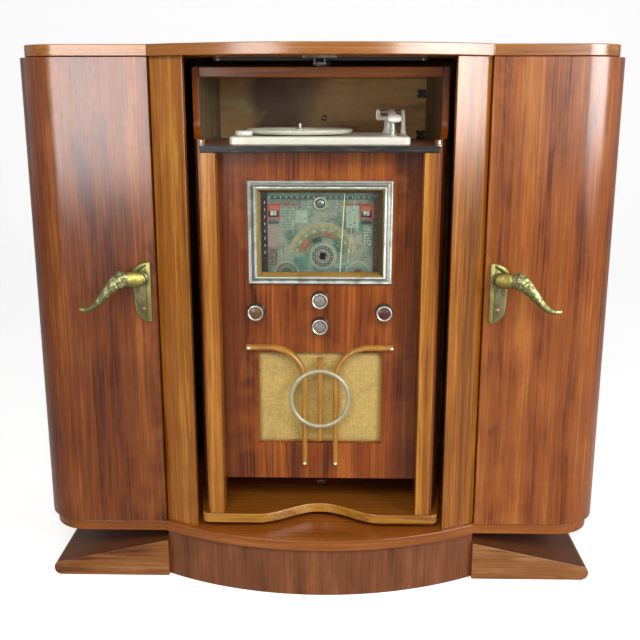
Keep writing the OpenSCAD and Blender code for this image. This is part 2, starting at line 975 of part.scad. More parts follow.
// Front ring, a windowed basket and the magnet pot
module speaker_frame() {
    basket_d = 60;
    color([0.20, 0.20, 0.21]) placed() translate([0, baffle_back_y, speaker_z]) rotate([-90, 0, 0]) {
        difference() {
            cylinder(r = speaker_r, h = 5);
            translate([0, 0, -1]) cylinder(r = speaker_r - 12, h = 7);
        }
        difference() {
            translate([0, 0, 4]) cylinder(r1 = speaker_r - 6, r2 = 40, h = basket_d);
            translate([0, 0, 3.9]) cylinder(r1 = speaker_r - 9, r2 = 37, h = basket_d + 0.2);
            for (angle = [0:60:300]) {
                rotate([90, 0, angle]) translate([0, basket_d / 2, 0]) cylinder(r = 14, h = 120);
            }
        }
        translate([0, 0, basket_d + 3]) cylinder(r = 44, h = 46);
    }
}

module speaker_cone() {
    color([0.13, 0.12, 0.11]) placed() translate([0, baffle_back_y, speaker_z]) rotate([-90, 0, 0]) {
        difference() {
            translate([0, 0, 2]) cylinder(r1 = speaker_r - 14, r2 = 16, h = 44);
            translate([0, 0, 1]) cylinder(r1 = speaker_r - 14, r2 = 14, h = 44);
        }
        translate([0, 0, 36]) cylinder(r = 14.6, h = 24);
    }
}

module grille_cloth() {
    x = cloth_w / 2 - 0.5;
    color([0.72, 0.60, 0.33]) placed()
        block([-x, panel_back_y - cloth_t, cloth_z + 0.5], [x, panel_back_y, cloth_z + cloth_h - 0.5]);
}

// One side bar: level at the top, then a quarter turn, then straight down
module side_bar() {
    bend_x = bar_in_x + bar_bend_r;
    bend_z = bar_top_z - bar_bend_r;
    half = bar_w / 2;
    translate([bend_x, bar_top_z - half]) square([bar_out_x - bend_x, bar_w]);
    translate([bar_in_x - half, bar_end_z]) square([bar_w, bend_z - bar_end_z]);
    intersection() {
        translate([bend_x, bend_z]) difference() {
            circle(bar_bend_r + half);
            circle(bar_bend_r - half);
        }
        translate([bar_in_x - half, bend_z]) square([bar_bend_r + half, bar_bend_r + half]);
    }
}

module grille_bars() {
    color(light_walnut) placed() translate([0, panel_y, 0]) rotate([90, 0, 0]) linear_extrude(bar_d) {
        for (side = [-1, 1]) on_side(side) side_bar();
        translate([-bar_w / 2, mid_bar_z]) square([bar_w, mid_bar_top_z - mid_bar_z]);
    }
}

module grille_ring() {
    color([0.70, 0.72, 0.66]) placed() difference() {
        rod_y(0, ring_z, ring_r, bar_y - 4, bar_y);
        rod_y(0, ring_z, ring_r - ring_w, bar_y - 5, bar_y + 1);
    }
}

// Record player's base: a flat casting with the rest for the tonearm and a stop pillar
module player_base() {
    corner = 8;
    half = player_w / 2;
    color(cream) placed() {
        difference() {
            up(deck_z, player_h) {
                translate([-half + corner, player_y]) square([player_w - 2 * corner, player_d]);
                translate([-half, player_y + corner]) square([player_w, player_d - 2 * corner]);
                for (x = [corner - half, half - corner], y = [corner, player_d - corner]) {
                    translate([x, player_y + y]) circle(corner, $fn = 32);
                }
            }
            translate([platter_x, platter_y, deck_z - 1])
                cylinder(r = platter_pin_r + pin_play, h = player_h + 2);
        }
        translate([arm_x + 23, arm_y - 40, player_top]) cylinder(r1 = 6, r2 = 3, h = 38);
        translate([arm_x, arm_y - 90, player_top]) {
            cylinder(r = 4, h = arm_rest_h - 1);
            block([-10, -5, arm_rest_h - 3], [10, 5, arm_rest_h]);
        }
    }
}

// Platter with its rim, mat, spindle and the shaft below
module turntable() {
    color(cream) placed() translate([platter_x, platter_y, platter_z]) {
        cylinder(r = platter_r - 4, h = 4);
        translate([0, 0, 3]) cylinder(r = platter_r, h = 5);
        cylinder(r = 3.5, h = 19);
        translate([0, 0, -player_h - deck_t - 12]) cylinder(r = platter_pin_r, h = player_h + deck_t + 13);
    }
}

module turntable_motor() {
    motor_top = deck_under_z;
    color([0.25, 0.25, 0.26]) placed() translate([platter_x, platter_y, 0]) difference() {
        union() {
            translate([0, 0, motor_top - 4]) cylinder(r = 52, h = 4);
            translate([0, 0, motor_top - 52]) cylinder(r = 40, h = 50);
        }
        translate([0, 0, motor_top - 30]) cylinder(r = 5.5, h = 40);
    }
}

// Arm that runs forward from its yoke to a wide head with the needle under it
module tonearm() {
    head_y = -arm_len;
    color(cream) placed() translate([arm_x, arm_y, arm_pivot_z]) {
        rod_x(0, 0, 0, arm_pin_r, 26);
        block([-8, -24, -4], [8, 8, 6]);
        hull() {
            block([-8, -24, -4], [8, -22, 6]);
            block([-6, head_y + 46, -8], [6, head_y + 48, 0]);
        }
        hull() {
            block([-14, head_y + 6, -16], [14, head_y + 46, -6]);
            block([-12, head_y, -14], [12, head_y + 8, -8]);
        }
        translate([0, head_y + 10, needle_z - arm_pivot_z]) cylinder(r1 = 0.8, r2 = 1.6, h = 12);
    }
}

// Turning post with the two cheeks that hold the arm's pivot
module arm_yoke() {
    color(cream) placed() translate([arm_x, arm_y, player_top]) {
        translate([0, 0, 0.2]) cylinder(r = 15.5, h = arm_post_h - 0.2);
        difference() {
            block([-28, -9, arm_post_h - 6], [28, 9, arm_post_h + 13]);
            block([-20, -10, arm_post_h], [20, 10, arm_post_h + 20]);
            rod_x(0, 0, arm_pivot_z - player_top, arm_pin_r + pin_play, 29);
        }
    }
}

module speed_lever() {
    color(cream) placed() translate([speed_x, speed_y, player_top + 0.3]) {
        cylinder(r = 11, h = 5);
        block([-17, -4, 0], [17, 4, 4]);
    }
}

top_board();
bottom_board();
plinth();
side_feet();
side_panel_left();
side_panel_right();
partition_left();
partition_right();
pilaster_left();
pilaster_right();
back_panel();
wing_shelves();
hinge_plates();
pivot_bearer();
base_bearing();
turn_catch();
door_left();
door_right();
door_leaves_left();
door_leaves_right();
handle_plate_left();
handle_plate_right();
handle_left();
handle_right();
drum_base();
drum_top();
drum_side_left();
drum_side_right();
closed_front();
drum_stiles();
deck_board();
deck_back();
drum_shelves();
control_panel();
dial_frame();
dial_glass();
dial_scale();
dial_pointer();
tuning_eye();
knob_left();
knob_right();
knob_upper();
knob_lower();
chassis();
valves();
mains_transformer();
tuning_capacitor();
capacitor_rotor();
baffle_board();
speaker_frame();
speaker_cone();
grille_cloth();
grille_bars();
grille_ring();
player_base();
turntable();
turntable_motor();
tonearm();
arm_yoke();
speed_lever();
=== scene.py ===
import math

import bmesh
import bpy
from mathutils import Matrix, Vector, noise


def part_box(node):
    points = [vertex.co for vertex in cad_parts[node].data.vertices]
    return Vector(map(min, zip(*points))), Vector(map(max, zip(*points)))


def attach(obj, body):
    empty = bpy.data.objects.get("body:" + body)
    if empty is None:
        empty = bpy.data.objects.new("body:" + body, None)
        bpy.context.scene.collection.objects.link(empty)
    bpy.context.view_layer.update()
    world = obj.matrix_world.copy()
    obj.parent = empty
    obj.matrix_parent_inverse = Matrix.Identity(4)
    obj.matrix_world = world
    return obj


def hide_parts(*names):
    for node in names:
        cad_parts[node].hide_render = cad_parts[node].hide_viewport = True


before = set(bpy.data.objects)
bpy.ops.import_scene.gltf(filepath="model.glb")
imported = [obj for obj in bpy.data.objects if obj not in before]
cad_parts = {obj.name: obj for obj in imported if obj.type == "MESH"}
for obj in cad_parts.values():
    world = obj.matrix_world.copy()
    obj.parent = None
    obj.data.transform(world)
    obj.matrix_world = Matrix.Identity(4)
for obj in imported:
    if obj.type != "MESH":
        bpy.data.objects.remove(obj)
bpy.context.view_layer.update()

# Shapes are drawn in millimetres, X to the right, Z up from the floor, and Y = 0 at the front
# of the doors and growing to the back. Shape.finish puts them in the frame, in metres.
MM = 0.001
door_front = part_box("door_left")[0].y
PLACE = Matrix.Translation((0, door_front, 0)) @ Matrix.Scale(MM, 4)
UNPLACE = PLACE.inverted()


def limits(node):
    """The lowest and highest corner of a CAD node, in millimetres."""
    low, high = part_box(node)
    return UNPLACE @ low, UNPLACE @ high


def middle(node):
    low, high = limits(node)
    return (low + high) / 2


# The bow: half its width, its depth and the circle that it is part of
bow_half = 304.0
bow_depth = -limits("top_board")[0].y
bow_radius = (bow_half ** 2 + bow_depth ** 2) / (2 * bow_depth)
bow_centre = bow_radius - bow_depth

FULL_TURN = 2 * math.pi


# Helpers for node trees

def rgb(red, green, blue):
    return (red, green, blue, 1.0)


class Tree:
    """Adds nodes to a tree, and gives each input a value or a link."""

    def __init__(self, tree):
        self.tree = tree

    def put(self, socket, value):
        if isinstance(value, bpy.types.NodeSocket):
            self.tree.links.new(value, socket)
        else:
            socket.default_value = value

    def fill(self, node, values):
        for name, value in values.items():
            self.put(node.inputs[name], value)

    def node(self, kind, inputs=None, **settings):
        made = self.tree.nodes.new(kind)
        for name, value in settings.items():
            setattr(made, name, value)
        self.fill(made, inputs or {})
        return made

    def math(self, operation, a, b=0.0, clamp=False):
        made = self.node("ShaderNodeMath", {0: a, 1: b}, operation=operation, use_clamp=clamp)
        return made.outputs[0]

    def plus(self, a, b, clamp=False):
        return self.math("ADD", a, b, clamp)

    def minus(self, a, b):
        return self.math("SUBTRACT", a, b)

    def times(self, a, b, clamp=False):
        return self.math("MULTIPLY", a, b, clamp)

    def over(self, a, b):
        return self.math("DIVIDE", a, b)

    def swing(self, value, reach):
        """A texture's value about its middle, times reach."""
        return self.times(self.minus(value, 0.5), reach)

    def stretch(self, vector, by):
        made = self.node("ShaderNodeVectorMath", {0: vector, 1: by}, operation="MULTIPLY")
        return made.outputs[0]

    def mix(self, factor, a, b):
        """A mix of two colours or vectors. The node has sockets for other kinds as well."""
        made = self.node("ShaderNodeMix", data_type="RGBA")
        self.fill(made, {0: factor, 6: a, 7: b})
        return made.outputs[2]

    def noise(self, vector, scale, detail, roughness=0.5):
        inputs = {"Vector": vector, "Scale": scale, "Detail": detail, "Roughness": roughness}
        return self.node("ShaderNodeTexNoise", inputs).outputs[0]

    def step(self, value, low, high, start=0.0, end=1.0):
        """value runs smoothly from start to end as it goes from low to high."""
        inputs = {0: value, 1: low, 2: high, 3: start, 4: end}
        return self.node("ShaderNodeMapRange", inputs, interpolation_type="SMOOTHSTEP").outputs[0]

    def split(self, vector):
        return self.node("ShaderNodeSeparateXYZ", {0: vector}).outputs

    def join(self, x, y, z):
        return self.node("ShaderNodeCombineXYZ", {0: x, 1: y, 2: z}).outputs[0]

    def group(self, group, inputs):
        made = self.tree.nodes.new("ShaderNodeGroup")
        made.node_tree = group
        self.fill(made, inputs)
        return made.outputs

    def bump(self, height, strength, distance):
        inputs = {"Height": height, "Strength": strength, "Distance": distance}
        return self.node("ShaderNodeBump", inputs).outputs[0]

    def coordinates(self, kind="Object"):
        return self.node("ShaderNodeTexCoord").outputs[kind]

    def seen_by(self, *rays):
        """1 for a ray of one of the kinds, and 0 for any other."""
        path = self.node("ShaderNodeLightPath").outputs
        seen = path[rays[0]]
        for ray in rays[1:]:
            seen = self.math("MAXIMUM", seen, path[ray])
        return seen


COLOUR = "NodeSocketColor"
NUMBER = "NodeSocketFloat"
VECTOR = "NodeSocketVector"
MATERIAL = "NodeSocketMaterial"


def add_inputs(group, inputs):
    """Named inputs for a node group, from (title, kind, value) rows."""
    for title, kind, value in inputs:
        socket = group.interface.new_socket(title, in_out="INPUT", socket_type=kind)
        if value is not None:
            socket.default_value = value


def shader_group(name, inputs, outputs):
    """A new shader group, with its tree, its own input values and its output node."""
    group = bpy.data.node_groups.new(name, "ShaderNodeTree")
    add_inputs(group, inputs)
    for title, kind in outputs:
        group.interface.new_socket(title, in_out="OUTPUT", socket_type=kind)
    tree = Tree(group)
    return group, tree, tree.node("NodeGroupInput").outputs, tree.node("NodeGroupOutput")


# Effects that several materials share

def make_wood_grain():
    """Grain along Z: wide bands, fine streaks, thin dark lines, pores and soft clouds."""
    group, tree, given, result = shader_group("wood grain", [
        ("Vector", VECTOR, None),
        ("Dark", COLOUR, rgb(0.1, 0.03, 0.01)),
        ("Middle", COLOUR, rgb(0.28, 0.09, 0.03)),
        ("Light", COLOUR, rgb(0.42, 0.17, 0.06)),
        ("Streak", NUMBER, 0.004),
        ("Band", NUMBER, 0.04),
        ("Run", NUMBER, 50.0),
        ("Contrast", NUMBER, 1.0),
        ("Figure", NUMBER, 0.3),
        ("Mottle", NUMBER, 0.3),
        ("Lines", NUMBER, 0.4),
    ], [("Color", COLOUR), ("Roughness", NUMBER), ("Height", NUMBER)])
    vector = given["Vector"]
    sway = tree.swing(tree.noise(tree.stretch(vector, (5.0, 5.0, 1.3)), 1.0, 1.0), 0.02)
    x, y, z = tree.split(vector)
    across = tree.join(tree.plus(x, sway), tree.plus(y, sway), tree.over(z, given["Run"]))
    bands = tree.noise(across, tree.over(1.0, given["Band"]), 3.0)
    streaks = tree.noise(across, tree.over(1.0, given["Streak"]), 2.0)
    cloud = tree.noise(tree.stretch(vector, (9.0, 9.0, 4.0)), 1.0, 3.0)
    blotch = tree.noise(tree.stretch(vector, (34.0, 34.0, 9.0)), 1.0, 4.0, 0.6)
    crossing = tree.minus(tree.noise(across, tree.over(0.35, given["Streak"]), 1.0), 0.5)
    line = tree.times(tree.step(tree.math("ABSOLUTE", crossing), 0.0, 0.035, 1.0, 0.0),
                      given["Lines"])
    pore_place = tree.join(x, y, tree.over(z, 14.0))
    pores = tree.step(tree.noise(pore_place, 1100.0, 1.0), 0.62, 0.72)

    stripes = tree.times(tree.plus(tree.swing(bands, 1.9), tree.swing(streaks, 1.1)),
                         given["Contrast"])
    clouds = tree.plus(tree.swing(cloud, given["Figure"]), tree.swing(blotch, given["Mottle"]))
    tone = tree.plus(tree.plus(stripes, 0.5), clouds, clamp=True)
    low_mix = tree.mix(tree.step(tone, 0.0, 0.5), given["Dark"], given["Middle"])
    colour = tree.mix(tree.step(tone, 0.5, 1.0), low_mix, given["Light"])
    colour = tree.mix(line, colour, given["Dark"])
    tree.fill(result, {
        "Color": tree.mix(tree.times(pores, 0.35), colour, given["Dark"]),
        "Roughness": tree.plus(tree.times(streaks, 0.3), 0.1),
        "Height": tree.minus(streaks, tree.times(pores, 0.6))})
    return group


def make_edge_wear():
    """Rubs a colour through on sharp edges, unevenly."""
    group, tree, given, result = shader_group("edge wear", [
        ("Color", COLOUR, rgb(0.3, 0.1, 0.03)),
        ("Worn", COLOUR, rgb(0.5, 0.28, 0.12)),
        ("Amount", NUMBER, 0.5),
    ], [("Color", COLOUR)])
    pointed = tree.node("ShaderNodeNewGeometry").outputs["Pointiness"]
    patchy = tree.step(tree.noise(tree.coordinates(), 28.0, 3.0), 0.35, 0.65)
    edge = tree.step(pointed, 0.53, 0.62)
    mask = tree.times(tree.times(edge, patchy), given["Amount"], clamp=True)
    tree.fill(result, {"Color": tree.mix(mask, given["Color"], given["Worn"])})
    return group


def make_dust():
    """A thin grey film on faces that look up."""
    group, tree, given, result = shader_group("dust", [
        ("Color", COLOUR, rgb(0.3, 0.2, 0.1)),
        ("Amount", NUMBER, 0.3),
    ], [("Color", COLOUR)])
    normal = tree.node("ShaderNodeNewGeometry").outputs["Normal"]
    upward = tree.step(tree.split(normal)[2], 0.5, 0.95)
    film = tree.step(tree.noise(tree.coordinates(), 17.0, 4.0), 0.3, 0.8)
    amount = tree.times(tree.times(upward, film), given["Amount"])
    tree.fill(result, {"Color": tree.mix(amount, given["Color"], rgb(0.42, 0.38, 0.32))})
    return group


def make_aged_metal():
    """Metal with tarnished patches, small pits and fine rubbed marks."""
    group, tree, given, result = shader_group("aged metal", [
        ("Vector", VECTOR, None),
        ("Bright", COLOUR, rgb(0.8, 0.6, 0.3)),
        ("Tarnish", COLOUR, rgb(0.3, 0.25, 0.12)),
        ("Patch", NUMBER, 60.0),
        ("Amount", NUMBER, 0.5),
        ("Polish", NUMBER, 0.25),
    ], [("Color", COLOUR), ("Roughness", NUMBER), ("Height", NUMBER)])
    patches = tree.step(tree.noise(given["Vector"], given["Patch"], 4.0, 0.6), 0.38, 0.66)
    rubs = tree.noise(given["Vector"], tree.times(given["Patch"], 9.0), 2.0)
    mask = tree.times(patches, given["Amount"])
    rough = tree.plus(given["Polish"], tree.times(mask, 0.3))
    tree.fill(result, {
        "Color": tree.mix(mask, given["Bright"], given["Tarnish"]),
        "Roughness": tree.plus(rough, tree.times(rubs, 0.1)),
        "Height": tree.plus(rubs, tree.times(patches, 0.5))})
    return group


def make_weave():
    """Plain weave of a warp along Z and a weft along X, with slubs of uneven tone."""
    group, tree, given, result = shader_group("weave", [
        ("Vector", VECTOR, None),
        ("Thread", NUMBER, 0.0016),
        ("Warp", COLOUR, rgb(0.5, 0.35, 0.1)),
        ("Weft", COLOUR, rgb(0.4, 0.26, 0.06)),
        ("Slub", COLOUR, rgb(0.7, 0.55, 0.25)),
    ], [("Color", COLOUR), ("Height", NUMBER)])
    x, _, z = tree.split(given["Vector"])
    turns = tree.over(math.pi, given["Thread"])
    warp = tree.math("SINE", tree.times(x, turns))
    weft = tree.math("SINE", tree.times(z, turns))
    over = tree.times(warp, weft)
    colour = tree.mix(tree.step(over, -0.3, 0.3), given["Weft"], given["Warp"])
    along, across = 60.0, 420.0
    weft_slubs = tree.noise(tree.stretch(given["Vector"], (along, 1.0, across)), 1.0, 2.0)
    warp_slubs = tree.noise(tree.stretch(given["Vector"], (across, 1.0, along)), 1.0, 2.0)
    slubs = tree.math("MAXIMUM", weft_slubs, warp_slubs)
    height = tree.plus(tree.math("ABSOLUTE", warp), tree.math("ABSOLUTE", weft))
    tree.fill(result, {
        "Color": tree.mix(tree.step(slubs, 0.55, 0.75), colour, given["Slub"]),
        "Height": tree.plus(height, slubs)})
    return group


WOOD_GRAIN = make_wood_grain()
EDGE_WEAR = make_edge_wear()
DUST = make_dust()
AGED_METAL = make_aged_metal()
WEAVE = make_weave()


# Materials

def new_material(name):
    """A material with its tree, its shader node and its output node."""
    material = bpy.data.materials.new(name)
    material.use_nodes = True
    material.node_tree.nodes.clear()
    tree = Tree(material.node_tree)
    shader = tree.node("ShaderNodeBsdfPrincipled")
    output = tree.node("ShaderNodeOutputMaterial", {"Surface": shader.outputs[0]})
    return material, tree, shader, output


def turned(tree, vector, grain):
    """Turns the coordinates so that the grain, along X or Z, runs along Z."""
    if grain == "Z":
        return vector
    x, y, z = tree.split(vector)
    return tree.join(z, y, x)


def round_the_bow(tree, vector):
    """Unrolls the bowed front: X becomes the length along the bow and Y the depth into it."""
    x, y, z = tree.split(vector)
    to_front = tree.minus(door_front + bow_centre * MM, y)
    across = tree.times(tree.math("ARCTAN2", x, to_front), bow_radius * MM)
    radius = tree.math("SQRT", tree.plus(tree.times(x, x), tree.times(to_front, to_front)))
    beyond = tree.math("GREATER_THAN", tree.math("ABSOLUTE", x), bow_half * MM)
    return tree.mix(beyond, tree.join(across, radius, z), vector)


# Lacquer over wood: the values of the shader's own sockets
LACQUER = {"IOR": 1.32, "Specular IOR Level": 0.3, "Coat IOR": 1.35, "Coat Roughness": 0.2}


def wood(name, dark, middle, light, grain="Z", streak=0.004, band=0.04, run=50.0, contrast=1.0,
         figure=0.3, mottle=0.4, lines=0.4, gloss=0.5, rough=0.0, worn=0.3, dust=0.0,
         bowed=False, painted_top_shade=0.0, dark_beyond=None):
    """A lacquered wood. rough adds to the roughness of the grain, and a share of painted shade
    darkens the faces that look up.

    dark_beyond is a distance from the middle, in metres, past which the colour is darker.
    """
    material, tree, shader, _ = new_material(name)
    upward = tree.step(tree.split(tree.coordinates("Normal"))[2], 0.6, 0.9)
    vector = tree.coordinates()
    if bowed:
        vector = tree.mix(upward, round_the_bow(tree, vector), vector)
    grown = tree.group(WOOD_GRAIN, {
        "Vector": turned(tree, vector, grain), "Dark": dark, "Middle": middle, "Light": light,
        "Streak": streak, "Band": band, "Run": run, "Contrast": contrast, "Figure": figure,
        "Mottle": mottle, "Lines": lines})
    colour = grown["Color"]
    if dark_beyond:
        from_middle = tree.math("ABSOLUTE", tree.split(vector)[0])
        edge = tree.step(from_middle, dark_beyond - 0.02, dark_beyond + 0.045, 0.0, 0.62)
        colour = tree.mix(edge, colour, dark)
    rubbed = tree.group(EDGE_WEAR, {"Color": colour, "Worn": light, "Amount": worn})
    # Painted shade: faces that look up are mixed towards the dark colour.
    top_shaded_colour = tree.mix(tree.times(upward, painted_top_shade), rubbed["Color"], dark)
    dusty = tree.group(DUST, {"Color": top_shaded_colour, "Amount": dust})
    tree.fill(shader, LACQUER | {
        "Base Color": dusty["Color"], "Roughness": tree.plus(grown["Roughness"], rough),
        "Normal": tree.bump(grown["Height"], 0.25, 0.0004), "Coat Weight": gloss})
    return material


def make_side_wood():
    """Veneer on the outside and the edges of the drum's sides, bare ply inside the record space."""
    material, tree, shader, _ = new_material("drum veneer")
    place = tree.coordinates()
    veneer = tree.group(WOOD_GRAIN, {
        "Vector": place, "Dark": rgb(0.13, 0.03, 0.003), "Middle": rgb(0.34, 0.08, 0.006),
        "Light": rgb(0.48, 0.17, 0.02), "Band": 0.03, "Contrast": 0.8})
    bare = tree.group(WOOD_GRAIN, {
        "Vector": place, "Dark": rgb(0.12, 0.08, 0.035), "Middle": rgb(0.27, 0.19, 0.08),
        "Light": rgb(0.42, 0.31, 0.15), "Streak": 0.006, "Contrast": 0.6, "Figure": 1.2})
    x, _, z = tree.split(place)
    normal_x = tree.split(tree.coordinates("Normal"))[0]
    inward = tree.step(tree.times(normal_x, tree.math("SIGN", x)), -0.8, -0.6, 1.0, 0.0)
    deck_top = limits("player_base")[0].z
    above = tree.math("GREATER_THAN", z, deck_top * MM)
    mask = tree.times(inward, above)
    tree.fill(shader, LACQUER | {
        "Base Color": tree.mix(mask, veneer["Color"], bare["Color"]),
        "Roughness": tree.plus(veneer["Roughness"], tree.times(mask, 0.3)),
        "Normal": tree.bump(veneer["Height"], 0.25, 0.0004), "Specular IOR Level": 0.5,
        "Coat Weight": 0.3, "Coat Roughness": 0.14})
    return material


def metal(name, bright, tarnish, patch=60.0, amount=0.5, polish=0.25, bump=0.15):
    material, tree, shader, _ = new_material(name)
    aged = tree.group(AGED_METAL, {
        "Vector": tree.coordinates(), "Bright": bright, "Tarnish": tarnish, "Patch": patch,
        "Amount": amount, "Polish": polish})
    tree.fill(shader, {
        "Base Color": aged["Color"], "Metallic": 1.0, "Roughness": aged["Roughness"],
        "Normal": tree.bump(aged["Height"], bump, 0.0003)})
    return material


def coated(name, colour, stain, patch=40.0, amount=0.4, rough=0.35, gloss=0.3, dust=0.0,
           shine=0.5):
    """Enamel, lacquer, plastic or paint: one colour with faint stains and a fine ripple."""
    material, tree, shader, _ = new_material(name)
    aged = tree.group(AGED_METAL, {
        "Vector": tree.coordinates(), "Bright": colour, "Tarnish": stain, "Patch": patch,
        "Amount": amount, "Polish": rough})
    dusty = tree.group(DUST, {"Color": aged["Color"], "Amount": dust})
    tree.fill(shader, {
        "Base Color": dusty["Color"], "Roughness": aged["Roughness"],
        "Normal": tree.bump(aged["Height"], 0.08, 0.0002), "Specular IOR Level": shine,
        "Coat Weight": gloss, "Coat Roughness": 0.1})
    return material


def make_cloth():
    """Gold cloth: crinkled threads, a few slubs and faded patches."""
    material, tree, shader, _ = new_material("gold cloth")
    place = tree.coordinates()
    woven = tree.group(WEAVE, {
        "Vector": place, "Thread": 0.0026, "Warp": rgb(0.66, 0.42, 0.075),
        "Weft": rgb(0.42, 0.27, 0.038), "Slub": rgb(0.72, 0.5, 0.13)})
    faded = tree.step(tree.noise(place, 30.0, 5.0, 0.65), 0.42, 0.68)
    colour = tree.mix(tree.times(faded, 0.6), woven["Color"], rgb(0.33, 0.22, 0.045))
    crinkle = tree.step(tree.noise(place, 210.0, 3.0, 0.7), 0.4, 0.62, 0.0, 0.5)
    tree.fill(shader, {
        "Base Color": tree.mix(crinkle, colour, rgb(0.7, 0.49, 0.1)), "Roughness": 0.75,
        "Normal": tree.bump(woven["Height"], 0.6, 0.0005), "Sheen Weight": 0.25})
    return material


def make_glass(name, tint, rough, ior=1.45):
    """Clear to the light that falls through it: only what looks at it sees a pane."""
    material, tree, shader, output = new_material(name)
    smears = tree.noise(tree.coordinates(), 35.0, 3.0)
    tree.fill(shader, {
        "Base Color": tint, "Roughness": rough, "Transmission Weight": 1.0, "IOR": ior,
        "Normal": tree.bump(smears, 0.02, 0.0004)})
    clear = tree.node("ShaderNodeBsdfTransparent", {"Color": rgb(0.92, 0.95, 0.93)})
    falling = tree.seen_by("Is Shadow Ray", "Is Diffuse Ray")
    mixed = tree.node("ShaderNodeMixShader", {
        0: falling, 1: shader.outputs[0], 2: clear.outputs[0]})
    tree.fill(output, {"Surface": mixed.outputs[0]})
    return material


def make_wall_ply():
    """Pale ply, darker over a patch left of its middle, with dark slanting clouds to the right."""
    material, tree, shader, _ = new_material("wall plywood")
    place = tree.coordinates()
    grown = tree.group(WOOD_GRAIN, {
        "Vector": turned(tree, place, "X"), "Dark": rgb(0.42, 0.21, 0.085),
        "Middle": rgb(0.9, 0.55, 0.21), "Light": rgb(0.96, 0.77, 0.38), "Streak": 0.008,
        "Band": 0.09, "Run": 7.0, "Contrast": 0.5, "Figure": 1.5, "Mottle": 0.7, "Lines": 0.1})
    x, _, z = tree.split(place)
    slant = tree.join(tree.plus(x, tree.times(z, -0.5)), 0.0, z)
    cloud = tree.noise(tree.stretch(slant, (9.0, 1.0, 6.0)), 1.0, 4.0)
    edge = tree.plus(x, tree.swing(cloud, 0.2))
    blotch = tree.times(tree.step(edge, -0.16, -0.12, 0.5, 0.95),
                        tree.step(edge, -0.1, 0.05, 1.0, 0.0))
    dark_clouds = tree.step(cloud, 0.5, 0.7, 0.0, 0.25)
    mask = tree.math("MAXIMUM", blotch, dark_clouds)
    tree.fill(shader, {
        "Base Color": tree.mix(mask, grown["Color"], rgb(0.11, 0.05, 0.02)),
        "Roughness": tree.plus(grown["Roughness"], 0.3),
        "Normal": tree.bump(grown["Height"], 0.25, 0.0004), "Specular IOR Level": 0.12})
    return material


def make_deck_lacquer():
    """Red-brown deck whose front edge is a black strip."""
    material, tree, shader, _ = new_material("deck lacquer")
    place = tree.coordinates()
    grown = tree.group(WOOD_GRAIN, {
        "Vector": turned(tree, place, "X"), "Dark": rgb(0.03, 0.01, 0.006),
        "Middle": rgb(0.13, 0.03, 0.008), "Light": rgb(0.24, 0.06, 0.015)})
    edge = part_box("deck_board")[0].y
    strip = tree.step(tree.split(place)[1], edge + 0.0015, edge + 0.0022, 1.0, 0.0)
    scuffs = tree.step(tree.noise(tree.stretch(place, (30.0, 90.0, 260.0)), 1.0, 3.0), 0.5, 0.7)
    black = tree.mix(tree.times(scuffs, 0.6), rgb(0.008, 0.008, 0.008), rgb(0.08, 0.07, 0.045))
    dusty = tree.group(DUST, {"Color": tree.mix(strip, grown["Color"], black), "Amount": 0.35})
    tree.fill(shader, {
        "Base Color": dusty["Color"], "Roughness": tree.plus(grown["Roughness"], 0.1),
        "Normal": tree.bump(grown["Height"], 0.15, 0.0003), "IOR": 1.35,
        "Specular IOR Level": 0.35})
    return material


DOOR_GROWTH = {"streak": 0.0032, "band": 0.045, "run": 55.0, "contrast": 0.9, "figure": 0.75,
               "mottle": 0.9, "lines": 0.28}
# Wood that runs from side to side
CROSS_GROWTH = {"grain": "X", "band": 0.03}

DOOR_WOOD = wood("door veneer", rgb(0.125, 0.026, 0.005), rgb(0.33, 0.084, 0.013),
                 rgb(0.5, 0.165, 0.03), **DOOR_GROWTH)
# The left door and left side panel: a darker veneer, darkened further as painted shade for the less
# lit left side.
DARK_AND_SHADED_DOOR_WOOD = wood("dark door veneer with painted shade", rgb(0.082, 0.016, 0.004), rgb(0.22, 0.052, 0.009),
                      rgb(0.4, 0.125, 0.024), **DOOR_GROWTH)
GOLDEN_WOOD = wood("golden veneer", rgb(0.2, 0.06, 0.006), rgb(0.4, 0.13, 0.012),
                   rgb(0.62, 0.26, 0.034), streak=0.003, band=0.02, run=60.0, contrast=1.1,
                   figure=0.35, mottle=0.6)
PANEL_WOOD = wood("striped veneer", rgb(0.06, 0.013, 0.003), rgb(0.275, 0.058, 0.007),
                  rgb(0.46, 0.13, 0.017), streak=0.0042, band=0.03, run=80.0, contrast=0.95,
                  figure=0.6, mottle=0.8, lines=0.6, gloss=0.3, dark_beyond=0.13)
PLINTH_WOOD = wood("plinth veneer", rgb(0.11, 0.031, 0.009), rgb(0.22, 0.069, 0.021),
                   rgb(0.35, 0.122, 0.04), run=40.0, contrast=0.6, figure=0.6, mottle=1.3,
                   lines=0.15, gloss=0.55, rough=0.05, bowed=True)
BOARD_WOOD = wood("board veneer", rgb(0.17, 0.052, 0.009), rgb(0.38, 0.13, 0.02),
                  rgb(0.55, 0.24, 0.05), contrast=0.8, mottle=0.5, lines=0.3, gloss=0.6,
                  worn=0.6, bowed=True, **CROSS_GROWTH)
FLOOR_WOOD = wood("floor veneer", rgb(0.14, 0.036, 0.005), rgb(0.33, 0.092, 0.012),
                  rgb(0.46, 0.16, 0.03), contrast=0.7, figure=0.4, mottle=0.7, lines=0.2,
                  worn=0.6, bowed=True, **CROSS_GROWTH)
# The base's top faces carry painted shade, for the dim floor of the record space.
BASE_WOOD = wood("base wood", rgb(0.21, 0.046, 0.003), rgb(0.56, 0.27, 0.036),
                 rgb(0.72, 0.42, 0.09), run=40.0, contrast=0.7, lines=0.3, gloss=0.4, worn=0.8,
                 painted_top_shade=0.8, **CROSS_GROWTH)
RAIL_WOOD = wood("rail wood", rgb(0.12, 0.03, 0.004), rgb(0.33, 0.085, 0.009),
                 rgb(0.48, 0.17, 0.02), run=40.0, contrast=0.8, gloss=0.3, **CROSS_GROWTH)
